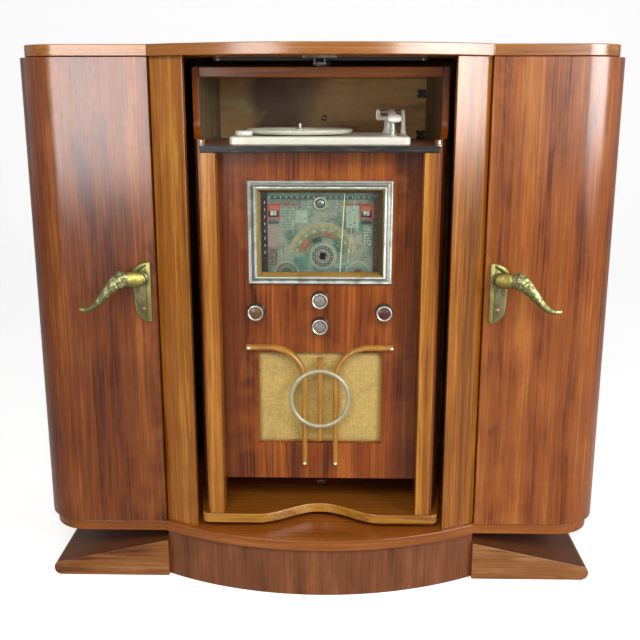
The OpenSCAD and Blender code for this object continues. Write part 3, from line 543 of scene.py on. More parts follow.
# The feet's sloping tops carry painted shade, for the shadow under the cabinet's overhang.
FOOT_WOOD = wood("foot wood", rgb(0.14, 0.038, 0.008), rgb(0.32, 0.12, 0.033),
                 rgb(0.46, 0.215, 0.08), run=30.0, contrast=1.1, figure=0.5, mottle=0.8,
                 gloss=0.2, rough=0.1, painted_top_shade=0.9, **CROSS_GROWTH)
INNER_WOOD = wood("inner wood", rgb(0.07, 0.024, 0.006), rgb(0.16, 0.06, 0.015),
                  rgb(0.26, 0.115, 0.035), gloss=0.1, rough=0.15, worn=0.1)
PLYWOOD = wood("plywood", rgb(0.25, 0.15, 0.065), rgb(0.46, 0.31, 0.145), rgb(0.62, 0.45, 0.23),
               grain="X", streak=0.006, band=0.05, run=14.0, contrast=0.6, figure=1.0,
               lines=0.15, gloss=0.0, rough=0.3, worn=0.2, dust=0.3)
BAR_WOOD = wood("bar wood", rgb(0.28, 0.105, 0.014), rgb(0.49, 0.225, 0.034),
                rgb(0.64, 0.36, 0.082), streak=0.003, band=0.02, run=30.0, contrast=0.7,
                gloss=0.3)
WALL_PLY = make_wall_ply()
SIDE_WOOD = make_side_wood()
DECK = make_deck_lacquer()
BRASS = metal("aged brass", rgb(0.155, 0.148, 0.068), rgb(0.06, 0.062, 0.024), patch=130.0,
              amount=0.85, polish=0.42, bump=0.25)
OLIVE_BRASS = metal("olive brass", rgb(0.16, 0.15, 0.05), rgb(0.09, 0.088, 0.03), patch=50.0,
                    amount=0.7, polish=0.42)
RUBBED_BRASS = metal("rubbed brass", rgb(0.23, 0.19, 0.05), rgb(0.12, 0.1, 0.028), patch=90.0,
                     amount=0.8, polish=0.38, bump=0.2)
COPPER = metal("copper screw", rgb(0.16, 0.08, 0.04), rgb(0.09, 0.045, 0.022), patch=200.0,
               polish=0.45)
SILVER = metal("plated frame", rgb(0.28, 0.3, 0.275), rgb(0.13, 0.12, 0.09), patch=35.0,
               amount=0.8, polish=0.32)
# Two copies of one gilt: this darker one, on the side and top lips, is painted shade.
SHADED_GILT = metal("gilt lip", rgb(0.12, 0.085, 0.03), rgb(0.07, 0.055, 0.025), patch=40.0, amount=0.6,
             polish=0.4)
# The lighter copy, on the bottom lip only, is painted light falling from above.
LIT_GILT_LIP = metal("gilt lip with painted light", rgb(0.36, 0.2, 0.045), rgb(0.2, 0.115, 0.03), patch=40.0,
                  amount=0.6, polish=0.36)
PEWTER = metal("grey field", rgb(0.12, 0.105, 0.055), rgb(0.055, 0.05, 0.026), patch=70.0,
               amount=0.7, polish=0.42)
CHROME = metal("chrome", rgb(0.25, 0.24, 0.2), rgb(0.11, 0.1, 0.075), patch=120.0, amount=0.7,
               polish=0.3)
NICKEL = metal("nickel", rgb(0.62, 0.58, 0.5), rgb(0.4, 0.36, 0.3))
STEEL = metal("steel", rgb(0.26, 0.25, 0.23), rgb(0.1, 0.085, 0.07), amount=0.7, polish=0.4)
DULL_STEEL = metal("dull steel", rgb(0.12, 0.11, 0.095), rgb(0.05, 0.04, 0.03), amount=0.7,
                   polish=0.45)
ALUMINIUM = metal("aluminium", rgb(0.72, 0.72, 0.7), rgb(0.5, 0.5, 0.48), polish=0.35)
CREAM = coated("cream enamel", rgb(0.8, 0.82, 0.68), rgb(0.66, 0.62, 0.42), amount=0.3,
               gloss=0.5)
IVORY = coated("ivory plastic", rgb(0.84, 0.84, 0.76), rgb(0.6, 0.56, 0.44), amount=0.3)
POINTER = coated("pointer paint", rgb(0.82, 0.8, 0.58), rgb(0.6, 0.56, 0.36))
POINTER_REFLECTION = coated("painted pointer reflection", rgb(0.4, 0.41, 0.32), rgb(0.3, 0.29, 0.22))
BAKELITE = coated("knob plastic", rgb(0.045, 0.03, 0.02), rgb(0.1, 0.075, 0.05), rough=0.25)
RING_PAINT = coated("ring enamel", rgb(0.44, 0.42, 0.25), rgb(0.27, 0.25, 0.14), rough=0.3)
DULL_IRON = coated("dull iron", rgb(0.018, 0.016, 0.014), rgb(0.05, 0.04, 0.032), rough=0.55,
                   gloss=0.0, shine=0.25)
IRON = coated("black iron", rgb(0.03, 0.03, 0.03), rgb(0.09, 0.08, 0.07), rough=0.45, dust=0.4)
PAPER = coated("cone paper", rgb(0.06, 0.052, 0.045), rgb(0.1, 0.085, 0.07), rough=0.8,
               gloss=0.0, dust=0.4)
MAT = coated("platter mat", rgb(0.7, 0.75, 0.62), rgb(0.55, 0.56, 0.42), rough=0.6, gloss=0.0)
EYE = coated("eye target", rgb(0.09, 0.13, 0.11), rgb(0.2, 0.24, 0.2), patch=160.0, rough=0.12,
             gloss=1.0)
LENS_AMBER = coated("amber lens", rgb(0.12, 0.058, 0.012), rgb(0.22, 0.12, 0.035), patch=230.0,
                    rough=0.3, gloss=0.15, shine=0.25)
LENS_RED = coated("red lens", rgb(0.07, 0.004, 0.01), rgb(0.17, 0.022, 0.04), patch=230.0,
                  rough=0.3, gloss=0.15, shine=0.25)
LENS_GREY = coated("grey lens", rgb(0.29, 0.255, 0.2), rgb(0.13, 0.1, 0.075), patch=260.0,
                   amount=0.8, gloss=0.15, shine=0.3)
DIAL_GROUND = coated("dial ground", rgb(0.32, 0.33, 0.25), rgb(0.11, 0.19, 0.15), patch=38.0,
                     amount=0.9, rough=0.6, gloss=0.0, shine=0.1)
CLOTH = make_cloth()
GLASS = make_glass("dial glass", rgb(0.97, 1.0, 0.98), 0.02, 1.36)
VALVE_GLASS = make_glass("valve glass", rgb(0.9, 0.92, 0.9), 0.03)


def make_ink(name, red, green, blue):
    """A printing ink that has faded towards a dull green in patches."""
    faded = rgb(red * 0.6 + 0.05, green * 0.6 + 0.06, blue * 0.6 + 0.04)
    return coated("dial ink " + name, rgb(red, green, blue), faded, patch=120.0, amount=0.6,
                  rough=0.6, gloss=0.0, shine=0.1)


# The last ink lies on top
INK_COLOURS = {
    "black": (0.018, 0.012, 0.016),
    "brown": (0.08, 0.045, 0.033),
    "teal": (0.12, 0.38, 0.28),
    "rose": (0.4, 0.28, 0.24),
    "grey": (0.43, 0.5, 0.39),
    "olive": (0.36, 0.37, 0.2),
    "rust": (0.5, 0.16, 0.1),
    "dark": (0.07, 0.1, 0.085),
    "gold": (0.53, 0.43, 0.22),
    "red": (0.55, 0.06, 0.05),
    "cream": (0.68, 0.62, 0.45),
    "pale": (0.74, 0.8, 0.68),
}
INKS = {name: make_ink(name, *colour) for name, colour in INK_COLOURS.items()}


# Shapes in mesh code

def around(count):
    """Evenly spaced angles, once round."""
    return [FULL_TURN * i / count for i in range(count)]


def even_steps(end, count):
    """Values from 0 to end, both included, in even steps."""
    return [end * i / count for i in range(count + 1)]


def spread(reach, count):
    """Evenly spaced values from -reach to reach, both included."""
    return [reach * (2 * i / (count - 1) - 1) for i in range(count)]


def stand(name, data):
    """A new object in the scene."""
    obj = bpy.data.objects.new(name, data)
    bpy.context.scene.collection.objects.link(obj)
    return obj


def declare(obj, body, replaces=()):
    """Says what body a piece rides on, and hides the CAD nodes it replaces."""
    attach(obj, body)
    if replaces:
        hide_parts(*replaces)
    return obj


class Shape:
    """A mesh under construction, in millimetres. Each part names its material by number."""

    def __init__(self):
        self.bm = bmesh.new()

    def skin(self, rings, material=0, loop=False):
        """Faces over closed rings of points. A ring of one point is a tip."""
        levels = [[self.bm.verts.new(point) for point in ring] for ring in rings]
        pairs = list(zip(levels, levels[1:] + levels[:1]))
        if not loop:
            pairs.pop()
        faces = []
        for a, b in pairs:
            count = max(len(a), len(b))
            for i in range(count):
                j = (i + 1) % count
                if len(a) == 1:
                    corners = [a[0], b[j], b[i]]
                elif len(b) == 1:
                    corners = [a[i], a[j], b[0]]
                else:
                    corners = [a[i], a[j], b[j], b[i]]
                faces.append(self.bm.faces.new(corners))
        for end in (levels[0], levels[-1]):
            if not loop and len(end) > 2:
                faces.append(self.bm.faces.new(end))
        for face in faces:
            face.material_index = material

    def lathe(self, profile, centre, axis, steps, material=0, loop=False):
        """Turns (radius, place along the axis from centre) points about an axis."""
        rings = []
        for radius, along in profile:
            ring = []
            for angle in around(steps if radius > 0 else 1):
                across = radius * math.cos(angle)
                up = radius * math.sin(angle)
                point = {"X": (along, across, up), "Y": (across, along, up),
                         "Z": (across, up, along)}[axis]
                ring.append(Vector(centre) + Vector(point))
            rings.append(ring)
        self.skin(rings, material, loop)

    def prism(self, outline, low, high, axis, material=0):
        """An outline pushed along Y or Z, from low to high."""
        def point(u, v, w):
            return {"Y": (u, w, v), "Z": (u, v, w)}[axis]

        self.skin([[point(u, v, w) for u, v in outline] for w in (low, high)], material)

    def box(self, low, high, material=0):
        corners = [(low[0], low[1]), (high[0], low[1]), (high[0], high[1]), (low[0], high[1])]
        self.prism(corners, low[2], high[2], "Z", material)

    def finish(self, name, body, materials, slot, replaces=(), soften=0.0, sharp=40):
        """Softens the sharp edges, places the mesh in the frame and makes it a piece."""
        bm = self.bm
        bmesh.ops.recalc_face_normals(bm, faces=bm.faces)
        if soften:
            edges = [e for e in bm.edges if e.is_manifold and e.calc_face_angle() > 0.6]
            bmesh.ops.bevel(bm, geom=edges, offset=soften, segments=2, profile=0.5,
                            affect="EDGES", clamp_overlap=True)
        bmesh.ops.transform(bm, matrix=PLACE, verts=bm.verts)
        mesh = bpy.data.meshes.new(name)
        bm.to_mesh(mesh)
        bm.free()
        for material in materials:
            mesh.materials.append(material)
        for face in mesh.polygons:
            face.use_smooth = True
        mesh.set_sharp_from_angle(angle=math.radians(sharp))
        return declare(stand(name, mesh), body, replaces)


def rounded_rectangle(half_x, half_y, radius, centre, steps=6):
    """Outline of a rectangle with round corners, anticlockwise."""
    points = []
    for quarter, (sx, sy) in enumerate([(1, 1), (-1, 1), (-1, -1), (1, -1)]):
        for i in range(steps + 1):
            angle = math.pi / 2 * (quarter + i / steps)
            points.append((centre[0] + sx * (half_x - radius) + radius * math.cos(angle),
                           centre[1] + sy * (half_y - radius) + radius * math.sin(angle)))
    return points


def smooth_route(points, per_span):
    """Points on a smooth curve through all the given ones, of any number of values each."""
    padded = [points[0]] + list(points) + [points[-1]]
    found = []
    for a, b, c, d in zip(padded, padded[1:], padded[2:], padded[3:]):
        for i in range(per_span):
            t = i / per_span
            found.append([
                0.5 * (2 * q + (r - p) * t + (2 * p - 5 * q + 4 * r - s) * t * t
                       + (3 * q - p - 3 * r + s) * t ** 3)
                for p, q, r, s in zip(a, b, c, d)])
    found.append(list(points[-1]))
    return found


def neighbours(route, index):
    """The places before and after one on a route, or the place itself at an end."""
    return route[max(index - 1, 0)], route[min(index + 1, len(route) - 1)]


# Geometry Nodes for what repeats

class Grower(Tree):
    """A Geometry Nodes tree with named inputs, made into a plain mesh on given points."""

    def __init__(self, name, inputs):
        group = bpy.data.node_groups.new(name, "GeometryNodeTree")
        for way in ("INPUT", "OUTPUT"):
            group.interface.new_socket("Geometry", in_out=way, socket_type="NodeSocketGeometry")
        add_inputs(group, inputs)
        super().__init__(group)
        self.given = self.node("NodeGroupInput").outputs
        self.result = self.node("NodeGroupOutput").inputs

    def attribute(self, name):
        made = self.node("GeometryNodeInputNamedAttribute", {"Name": name},
                         data_type="FLOAT_VECTOR")
        return made.outputs["Attribute"]

    def on_points(self, instance):
        """The instance at each point, turned and sized by the points' own values."""
        turn = self.node("FunctionNodeEulerToRotation", {0: self.attribute("turn")}).outputs[0]
        placed = self.node("GeometryNodeInstanceOnPoints", {
            "Points": self.given["Geometry"], "Instance": instance, "Rotation": turn,
            "Scale": self.attribute("size")})
        return placed.outputs[0]

    def close(self, *parts):
        """parts are (instance, material) pairs, each set on all the points."""
        joined = self.node("GeometryNodeJoinGeometry")
        for instance, material in parts:
            real = self.node("GeometryNodeRealizeInstances", {0: self.on_points(instance)})
            painted = self.node("GeometryNodeSetMaterial", {
                "Geometry": real.outputs[0], "Material": material})
            self.put(joined.inputs[0], painted.outputs[0])
        self.put(self.result["Geometry"], joined.outputs[0])

    def grow(self, name, spots, values, body, slot):
        """spots are (place, turn, size) in millimetres and radians. values go to the inputs."""
        mesh = bpy.data.meshes.new(name)
        mesh.from_pydata([PLACE @ Vector(place) for place, _, _ in spots], [], [])
        for title, column, scale in (("turn", 1, 1.0), ("size", 2, MM)):
            held = mesh.attributes.new(title, "FLOAT_VECTOR", "POINT")
            for item, spot in zip(held.data, spots):
                item.vector = Vector(spot[column]) * scale
        obj = stand(name, mesh)
        modifier = obj.modifiers.new("grow", "NODES")
        modifier.node_group = self.tree
        for socket in self.tree.interface.items_tree:
            if socket.in_out == "INPUT" and socket.name in values:
                modifier[socket.identifier] = values[socket.name]
        graph = bpy.context.evaluated_depsgraph_get()
        grown = bpy.data.meshes.new_from_object(obj.evaluated_get(graph), depsgraph=graph)
        obj.modifiers.remove(modifier)
        obj.data = grown
        grown.name = name
        grown.set_sharp_from_angle(angle=math.radians(40))
        return declare(obj, body)


def make_slab_grower():
    """A unit slab on each point, as a printed mark or a rib."""
    grower = Grower("slabs", [("Paint", MATERIAL, None)])
    cube = grower.node("GeometryNodeMeshCube", {"Size": (1.0, 1.0, 1.0)}).outputs[0]
    grower.close((cube, grower.given["Paint"]))
    return grower


def make_screw_grower():
    """A domed screw head with a dark slot on each point, with its axis along the point's Z."""
    grower = Grower("screw heads", [
        ("Dome", NUMBER, 0.5), ("Slot", NUMBER, 0.2), ("Head", MATERIAL, None),
        ("Gap", MATERIAL, None)])
    dome = grower.given["Dome"]
    ball = grower.node("GeometryNodeMeshUVSphere", {"Segments": 20, "Rings": 10, "Radius": 1.0})
    head = grower.node("GeometryNodeTransform", {
        "Geometry": ball.outputs[0], "Scale": grower.join(1.0, 1.0, dome)})
    smooth = grower.node("GeometryNodeSetShadeSmooth", {"Geometry": head.outputs[0]})
    cut = grower.node("GeometryNodeMeshCube", {
        "Size": grower.join(1.5, grower.given["Slot"], 0.3)})
    raised = grower.node("GeometryNodeTransform", {
        "Geometry": cut.outputs[0],
        "Translation": grower.join(0.0, 0.0, grower.times(dome, 0.72))})
    grower.close((smooth.outputs[0], grower.given["Head"]),
                 (raised.outputs[0], grower.given["Gap"]))
    return grower


def make_ring_grower():
    """Round ribs about each point's Z: a ring of radius 1 with a wire of the given share."""
    grower = Grower("round ribs", [("Wire", NUMBER, 0.02), ("Paint", MATERIAL, None)])
    circle = grower.node("GeometryNodeCurvePrimitiveCircle", {"Resolution": 96, "Radius": 1.0})
    wire = grower.node("GeometryNodeCurvePrimitiveCircle", {
        "Resolution": 8, "Radius": grower.given["Wire"]})
    tube = grower.node("GeometryNodeCurveToMesh", {
        "Curve": circle.outputs[0], "Profile Curve": wire.outputs[0]}).outputs[0]
    smooth = grower.node("GeometryNodeSetShadeSmooth", {"Geometry": tube}).outputs[0]
    grower.close((smooth, grower.given["Paint"]))
    return grower


SLABS = make_slab_grower()
SCREWS = make_screw_grower()
RIBS = make_ring_grower()

# Turns for a screw whose head looks to the front or to the back
FRONT = math.pi / 2
BACK = -math.pi / 2


def add_screws(name, spots, head, gap, body, slot, dome=0.5, cut=0.2):
    """Screw heads. dome is a head's height and cut the slot's width, as shares of its radius."""
    SCREWS.grow(name, spots, {"Dome": dome, "Slot": cut, "Head": head, "Gap": gap}, body, slot)


# Timber and metal that keep their CAD shape

def dress(node, material, soften=0.0):
    """Gives a CAD node its material, and soft edges of the given width in millimetres."""
    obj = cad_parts[node]
    for held in obj.material_slots:
        held.material = material
    if soften:
        weld = obj.modifiers.new("weld", "WELD")
        weld.merge_threshold = 0.01 * MM
        flat = obj.modifiers.new("flat", "DECIMATE")
        flat.decimate_type = "DISSOLVE"
        flat.angle_limit = math.radians(0.5)
        edge = obj.modifiers.new("edge", "BEVEL")
        edge.width = soften * MM
        edge.segments = 3
        edge.limit_method = "ANGLE"
        edge.angle_limit = math.radians(25)
        even = obj.modifiers.new("even", "WEIGHTED_NORMAL")
        even.keep_sharp = False


TIMBER = [
    ("top_board", BOARD_WOOD, 2.5), ("bottom_board", FLOOR_WOOD, 2.5),
    ("plinth", PLINTH_WOOD, 1.5), ("side_feet", FOOT_WOOD, 1.5),
    ("side_panel_left", DARK_AND_SHADED_DOOR_WOOD, 1.0), ("side_panel_right", DOOR_WOOD, 1.0),
    ("partition_left", INNER_WOOD, 1.0), ("partition_right", INNER_WOOD, 1.0),
    ("pilaster_left", GOLDEN_WOOD, 1.5), ("pilaster_right", GOLDEN_WOOD, 1.5),
    ("back_panel", PLYWOOD, 0.0), ("wing_shelves", PLYWOOD, 0.8),
    ("door_left", DARK_AND_SHADED_DOOR_WOOD, 2.0), ("door_right", DOOR_WOOD, 2.0),
    ("drum_base", BASE_WOOD, 2.0), ("drum_top", RAIL_WOOD, 1.5),
    ("drum_side_left", SIDE_WOOD, 1.5), ("drum_side_right", SIDE_WOOD, 1.5),
    ("closed_front", DOOR_WOOD, 1.0), ("drum_stiles", GOLDEN_WOOD, 1.5),
    ("deck_board", DECK, 1.0), ("deck_back", WALL_PLY, 0.5), ("drum_shelves", PLYWOOD, 0.5),
    ("control_panel", PANEL_WOOD, 0.8), ("baffle_board", PLYWOOD, 0.5),
]
METALWORK = [
    ("hinge_plates", BRASS, 0.0), ("door_leaves_left", BRASS, 0.0),
    ("door_leaves_right", BRASS, 0.0), ("pivot_bearer", DULL_IRON, 0.5),
    ("base_bearing", STEEL, 0.5), ("turn_catch", DULL_STEEL, 0.3), ("chassis", ALUMINIUM, 0.5),
    ("mains_transformer", IRON, 1.0), ("tuning_capacitor", ALUMINIUM, 0.0),
    ("capacitor_rotor", ALUMINIUM, 0.0), ("speaker_frame", IRON, 0.0),
    ("speaker_cone", PAPER, 0.0), ("turntable_motor", IRON, 1.0),
    ("dial_scale", DIAL_GROUND, 0.0),
]
for node_name, finish, width in TIMBER + METALWORK:
    dress(node_name, finish, width)


# Door handles

# The lever's line from its spindle: outward, forward and up, then half its height and half its
# thickness
LEVER_ROUTE = [
    (-5.0, -22.0, 0.5, 13.0, 9.0),
    (6.0, -27.0, 1.5, 14.8, 10.5),
    (20.0, -34.0, 2.5, 13.6, 9.8),
    (31.0, -40.5, 2.0, 14.4, 10.4),
    (43.0, -46.0, -6.5, 11.6, 8.6),
    (57.0, -49.0, -21.5, 9.0, 7.0),
    (70.0, -49.0, -36.0, 7.0, 5.8),
    (82.0, -46.5, -47.0, 5.4, 4.8),
    (94.0, -43.0, -52.5, 4.4, 4.0),
    (105.0, -40.5, -53.0, 4.4, 3.9),
    (109.5, -39.5, -52.5, 2.6, 2.4),
]
neck_end, tip_start = 0.2, 0.84
hub_x = middle("handle_plate_right").x
hub_z = limits("handle_plate_right")[1].z - 29.0
tongue_y = limits("handle_right")[1].y


def lever_relief(share, angle):
    """How far the casting stands out: a plain neck, scrolls on the head, veins that fade."""
    scallop_depth, scroll_depth, pit_depth = 0.08, 0.09, 0.17
    beads, pits_along, pits_round = 19, 52, 3.6
    rise = max(0.0, min(1.0, (share - neck_end) * 20))
    ornate = rise * max(0.0, min(1.0, (0.9 - share) * 2.0))
    bead = abs(math.sin(math.pi * share * beads))
    scallop = abs(math.cos(angle)) ** 2 * (bead - 0.6)
    scroll = math.sin(3 * angle + 38 * share) * math.sin(2 * angle - 27 * share)
    pit = noise.noise((share * pits_along, math.cos(angle) * pits_round,
                       math.sin(angle) * pits_round))
    return 1 + ornate * (scallop_depth * scallop + scroll_depth * scroll + pit_depth * pit)


def lever_rings(side, spindle):
    """Rings of points along the lever, on the left or the right door."""
    route = smooth_route(LEVER_ROUTE, 18)
    rings = []
    for index, (out, forward, up, half_high, half_deep) in enumerate(route):
        share = index / (len(route) - 1)
        behind, ahead = neighbours(route, index)
        along = (Vector(ahead[:3]) - Vector(behind[:3])).normalized()
        across = along.cross(Vector((0, 1, 0))).normalized()
        outward = across.cross(along).normalized()
        ring = []
        for angle in around(44):
            size = lever_relief(share, angle)
            place = Vector((out, forward, up)) + across * (half_high * math.cos(angle) * size)
            place += outward * (half_deep * math.sin(angle) * size)
            ring.append(spindle + Vector((side * place.x, place.y, place.z)))
        rings.append(ring)
    return rings


def make_lever(side, name, body, node):
    """Cast lever: a smooth neck on a round boss, a leafy head and an arm with a curled tip."""
    spindle = Vector((side * hub_x, 0.0, hub_z))
    shape = Shape()
    shape.skin(lever_rings(side, spindle))
    for index, face in enumerate(shape.bm.faces):
        if not neck_end < index / len(shape.bm.faces) < tip_start:
            face.material_index = 2
    boss = [(0, -24), (10, -23.6), (11.6, -22), (11.8, -13), (11, -11), (13.2, -9.6),
            (13.2, -7.6), (11.4, -6.2), (12.4, -4.7), (0, -4.5)]
    shape.lathe(boss, spindle, "Y", 40)
    shape.lathe([(0, -5), (4.5, -5), (4.5, tongue_y), (0, tongue_y)], spindle, "Y", 24, 1)
    shape.box((spindle.x - 6, tongue_y - 4, hub_z - 28), (spindle.x + 6, tongue_y, hub_z + 8), 1)
    shape.finish(name, body, [BRASS, STEEL, RUBBED_BRASS], "aged_brass", [node], sharp=60)


def leaf_rings(side, centre_x):
    """Rings of points along the leaf that lies over the top of a backplate."""
    # Across, up and size
    leaf = [(16.2, 8, 2.6), (11, 14.5, 4.8), (3, 20.5, 5.2), (-6, 25.2, 4.4), (-12.5, 27.5, 2.4)]
    rings = []
    for index, (u, v, size) in enumerate(smooth_route(leaf, 8)):
        swell = size * (1 + 0.06 * math.sin(index * 1.25))
        rings.append([(centre_x + side * (u + 0.62 * swell * math.cos(a)),
                       -3.2 - 0.85 * swell * math.sin(a),
                       hub_z + v + 0.78 * swell * math.cos(a)) for a in around(14)])
    return rings


def make_backplate(side, name, body, node):
    """Tapering plate with a raised rim along its inner edge, a leaf at the top and a screw."""
    centre_x = side * hub_x
    shape = Shape()

    def on_door(outline):
        return [(centre_x + side * u, hub_z + v) for u, v in outline]

    outer = [(-16.5, -83.5), (-16.5, 28.5), (-6, 28.5), (4, 22), (12, 12), (16, 1), (16, -16),
             (14.5, -50), (12.5, -67), (-3, -83)]
    shape.prism(on_door(outer), -2.6, 0.0, "Y")
    field = [(-8, -78), (-8, 18), (-3, 18), (6, 10), (12, -1), (13, -16), (11.8, -50),
             (10, -65), (-3.5, -78)]
    shape.prism(on_door(field), -3.2, -1.0, "Y", 1)
    rim = [(-16.8, -83.8), (-16.8, 28.8), (-9.4, 28.8), (-9.4, -83.8)]
    shape.prism(on_door(rim), -5.8, -0.5, "Y")
    shape.skin(leaf_rings(side, centre_x))
    shape.finish(name, body, [OLIVE_BRASS, PEWTER], "aged_brass", [node], soften=0.8, sharp=50)
    spots = [((centre_x - side * 1.5, -3.2, hub_z - 60), (FRONT, 0.5, 0), (5, 5, 3.5))]
    add_screws(name + "_screw", spots, COPPER, IRON, body, "aged_brass")


def make_handles():
    for side, word in ((-1, "left"), (1, "right")):
        make_lever(side, "lever_" + word, word + "_handle", "handle_" + word)
        make_backplate(side, "backplate_" + word, word + "_door", "handle_plate_" + word)


# Dial

dial_low, dial_high = limits("dial_frame")
dial_half_w = (dial_high.x - dial_low.x) / 2
dial_half_h = (dial_high.z - dial_low.z) / 2
dial_z = (dial_high.z + dial_low.z) / 2
panel_y = dial_high.y
border_w = 25.0
border_h = 22.0
scale_y = panel_y + 18.0
rail_z = dial_low.z + 12.0
rail_y = scale_y - 7.0

# Edges of the scale that shows inside the frame
scale_left, scale_right = -dial_half_w + border_w, dial_half_w - border_w
scale_top, scale_bottom = dial_z + dial_half_h - border_h, dial_z - dial_half_h + border_h


def make_dial_surround():
    """Mitred moulding: outer bead, hollow, ridge and a gilt lip that slopes in to the glass."""
    # Distance in from the outer edge, height above the panel, and 1 where the next face is gilt
    section = [
        (0.0, 0.0, 0), (0.0, 4.6, 0), (0.8, 6.6, 0), (2.4, 7.4, 0), (4.2, 6.8, 0), (5.0, 5.4, 0),
        (6.0, 5.0, 0), (9.0, 6.8, 0), (11.0, 9.0, 0), (12.2, 11.3, 0), (14.0, 12.0, 0),
        (16.0, 11.4, 0), (16.9, 9.8, 0), (17.4, 9.2, 1), (18.2, 9.4, 1), (24.4, 3.0, 1),
        (25.0, 1.2, 1), (25.0, 0.0, 0),
    ]
    shape = Shape()
    rings = []
    for inset, height, _ in section:
        x = dial_half_w - inset
        z = dial_half_h - inset * border_h / border_w
        y = panel_y - height
        rings.append([(-x, y, dial_z - z), (x, y, dial_z - z), (x, y, dial_z + z),
                      (-x, y, dial_z + z)])
    shape.skin(rings, loop=True)
    shape.bm.faces.ensure_lookup_table()
    for index, (_, _, gilt) in enumerate(section):
        for face in shape.bm.faces[4 * index:4 * index + 4]:
            face.material_index = gilt
        if gilt:
            # The bottom lip takes the lighter copy of the gilt, as painted light from above.
            shape.bm.faces[4 * index].material_index = 2
    shape.finish("dial_surround", "drum", [SILVER, SHADED_GILT, LIT_GILT_LIP], "plated_frame",
                 ["dial_frame"], sharp=28)


def on_circle(centre, radius, angle):
    """A place on a circle. The angle is from the vertical, to the right."""
    return centre[0] + radius * math.sin(angle), centre[1] + radius * math.cos(angle)


class Print:
    """Marks printed on the scale plate, gathered by colour. Each colour is a layer of its own."""

    def __init__(self):
        self.spots = {}

    def mark(self, ink, x, z, width, height, turn=0.0):
        layer = scale_y - 0.25 - 0.05 * list(INKS).index(ink)
        self.spots.setdefault(ink, []).append(
            ((x, layer, z), (0.0, turn, 0.0), (width, 0.3, height)))

    def row(self, ink, count, x, z, pitch, width, height):
        """Marks from left to right, the first at x."""
        for i in range(count):
            self.mark(ink, x + i * pitch, z, width, height)

    def ray(self, ink, centre, angle, inner, outer, width):
        """A mark along a radius."""
        x, z = on_circle(centre, (inner + outer) / 2, angle)
        self.mark(ink, x, z, width, outer - inner, angle)

    def arc(self, ink, centre, radius, start, end, width, count):
        """A band along an arc, of short pieces."""
        length = 1.08 * (radius + width / 2) * abs(end - start) / count
        for i in range(count):
            angle = start + (end - start) * (i + 0.5) / count
            x, z = on_circle(centre, radius, angle)
            self.mark(ink, x, z, length, width, angle)

    def frame(self, ink, x, z, half_x, half_z, line):
        """The outline of a box."""
        for side in (-1, 1):
            self.mark(ink, x, z + side * half_z, 2 * half_x + line, line)
            self.mark(ink, x + side * half_x, z, line, 2 * half_z)

    def column(self, ink, x, z, width, rows, pitch, seed):
        """Lines of short words, down from the top left corner."""
        for row in range(rows):
            start = x
            while start < x + width - 1.5:
                chance = noise.noise((seed * 3.7, row * 1.31, start * 0.73))
                length = min(width * (0.28 + 0.5 * chance), x + width - start)
                if length > 0.8:
                    self.mark(ink, start + length / 2, z - row * pitch, length, pitch * 0.48)
                start += max(length, 0.8) + 1.3

    def finish(self):
        for ink, spots in self.spots.items():
            SLABS.grow("dial_print_" + ink, spots, {"Paint": INKS[ink]}, "drum", "dial_print")


def make_dial_numbers(labels):
    """Plain numbers on the scale: text, x, z, height, turn and added boldness for each."""
    bm = bmesh.new()
    for text, x, z, size, turn, bold in labels:
        curve = bpy.data.curves.new("number", "FONT")
        curve.body = text
        curve.size = size * 1.4
        curve.offset = bold
        curve.align_x = "CENTER"
        curve.align_y = "CENTER"
        curve.resolution_u = 2
        holder = bpy.data.objects.new("number", curve)
        mesh = bpy.data.meshes.new_from_object(holder)
        bpy.data.objects.remove(holder)
        upright = Matrix.Rotation(turn, 4, "Y") @ Matrix.Rotation(math.pi / 2, 4, "X")
        mesh.transform(PLACE @ Matrix.Translation((x, scale_y - 0.7, z)) @ upright)
        bm.from_mesh(mesh)
        bpy.data.meshes.remove(mesh)
    mesh = bpy.data.meshes.new("dial_numbers")
    bm.to_mesh(mesh)
    bm.free()
    mesh.materials.append(INKS["pale"])
    declare(stand("dial_numbers", mesh), "drum")


def make_dial_print():
    """A generic scale: an arch of ticks, blocks of station lines, numbers and coloured fields."""
    art = Print()
    labels = make_scale_edges(art)
    make_station_blocks(art)
    make_loose_marks(art)
    arch_centre = (5.0, scale_bottom + 27.0)
    labels += make_scale_arch(art, arch_centre)
    labels += make_tick_disc(art, arch_centre)
    for x, ink, fill in ((scale_left + 46, "dark", "teal"), (scale_right - 38, "teal", "rust")):
        make_corner_fan(art, (x, scale_bottom - 6.0), ink, fill)
    art.finish()
    make_dial_numbers(labels)


def make_scale_edges(art):
    """Dark columns at the sides, a row of dots along the top and a red box in each corner."""
    art.mark("black", scale_left + 4, dial_z, 13, scale_top - scale_bottom + 8)
    art.mark("brown", scale_right - 4, dial_z, 13, scale_top - scale_bottom + 8)
    for i in range(8):
        art.mark("pale", scale_left + 5.5, scale_top - 20 - i * 13.4, 1.5, 5.2, 0.12)
    for i in range(9):
        art.mark("rust", scale_right - 6, scale_bottom + 12 + i * 13, 3.6, 0.9)
    art.mark("teal", 4, scale_top - 10, scale_right - scale_left - 22, 9)
    art.mark("dark", 4, scale_top - 11.5, scale_right - scale_left - 22, 5.5)
    art.row("pale", 19, scale_left + 15, scale_top - 10.5, 10.3, 2.6, 2.8)
    art.row("grey", 38, scale_left + 12.5, scale_top - 4.5, 5.15, 2.0, 2.4)

    labels = []
    for side, text, x in ((-1, "80", scale_left + 22), (1, "90", scale_right - 23)):
        art.mark("red", x - side * 20, scale_top - 23, 54, 2.4)
        art.mark("rust", x, scale_top - 31, 21, 9)
        art.mark("black", x, scale_top - 41, 21, 13)
        art.frame("red", x, scale_top - 38, 10.5, 13, 2.2)
        art.mark("dark", x, scale_top - 57, 20, 7)
        labels.append((text, x, scale_top - 40.5, 8.5, 0.0, 0.35))
    art.mark("red", scale_right - 9.5, scale_top - 36, 2.4, 28)
    return labels


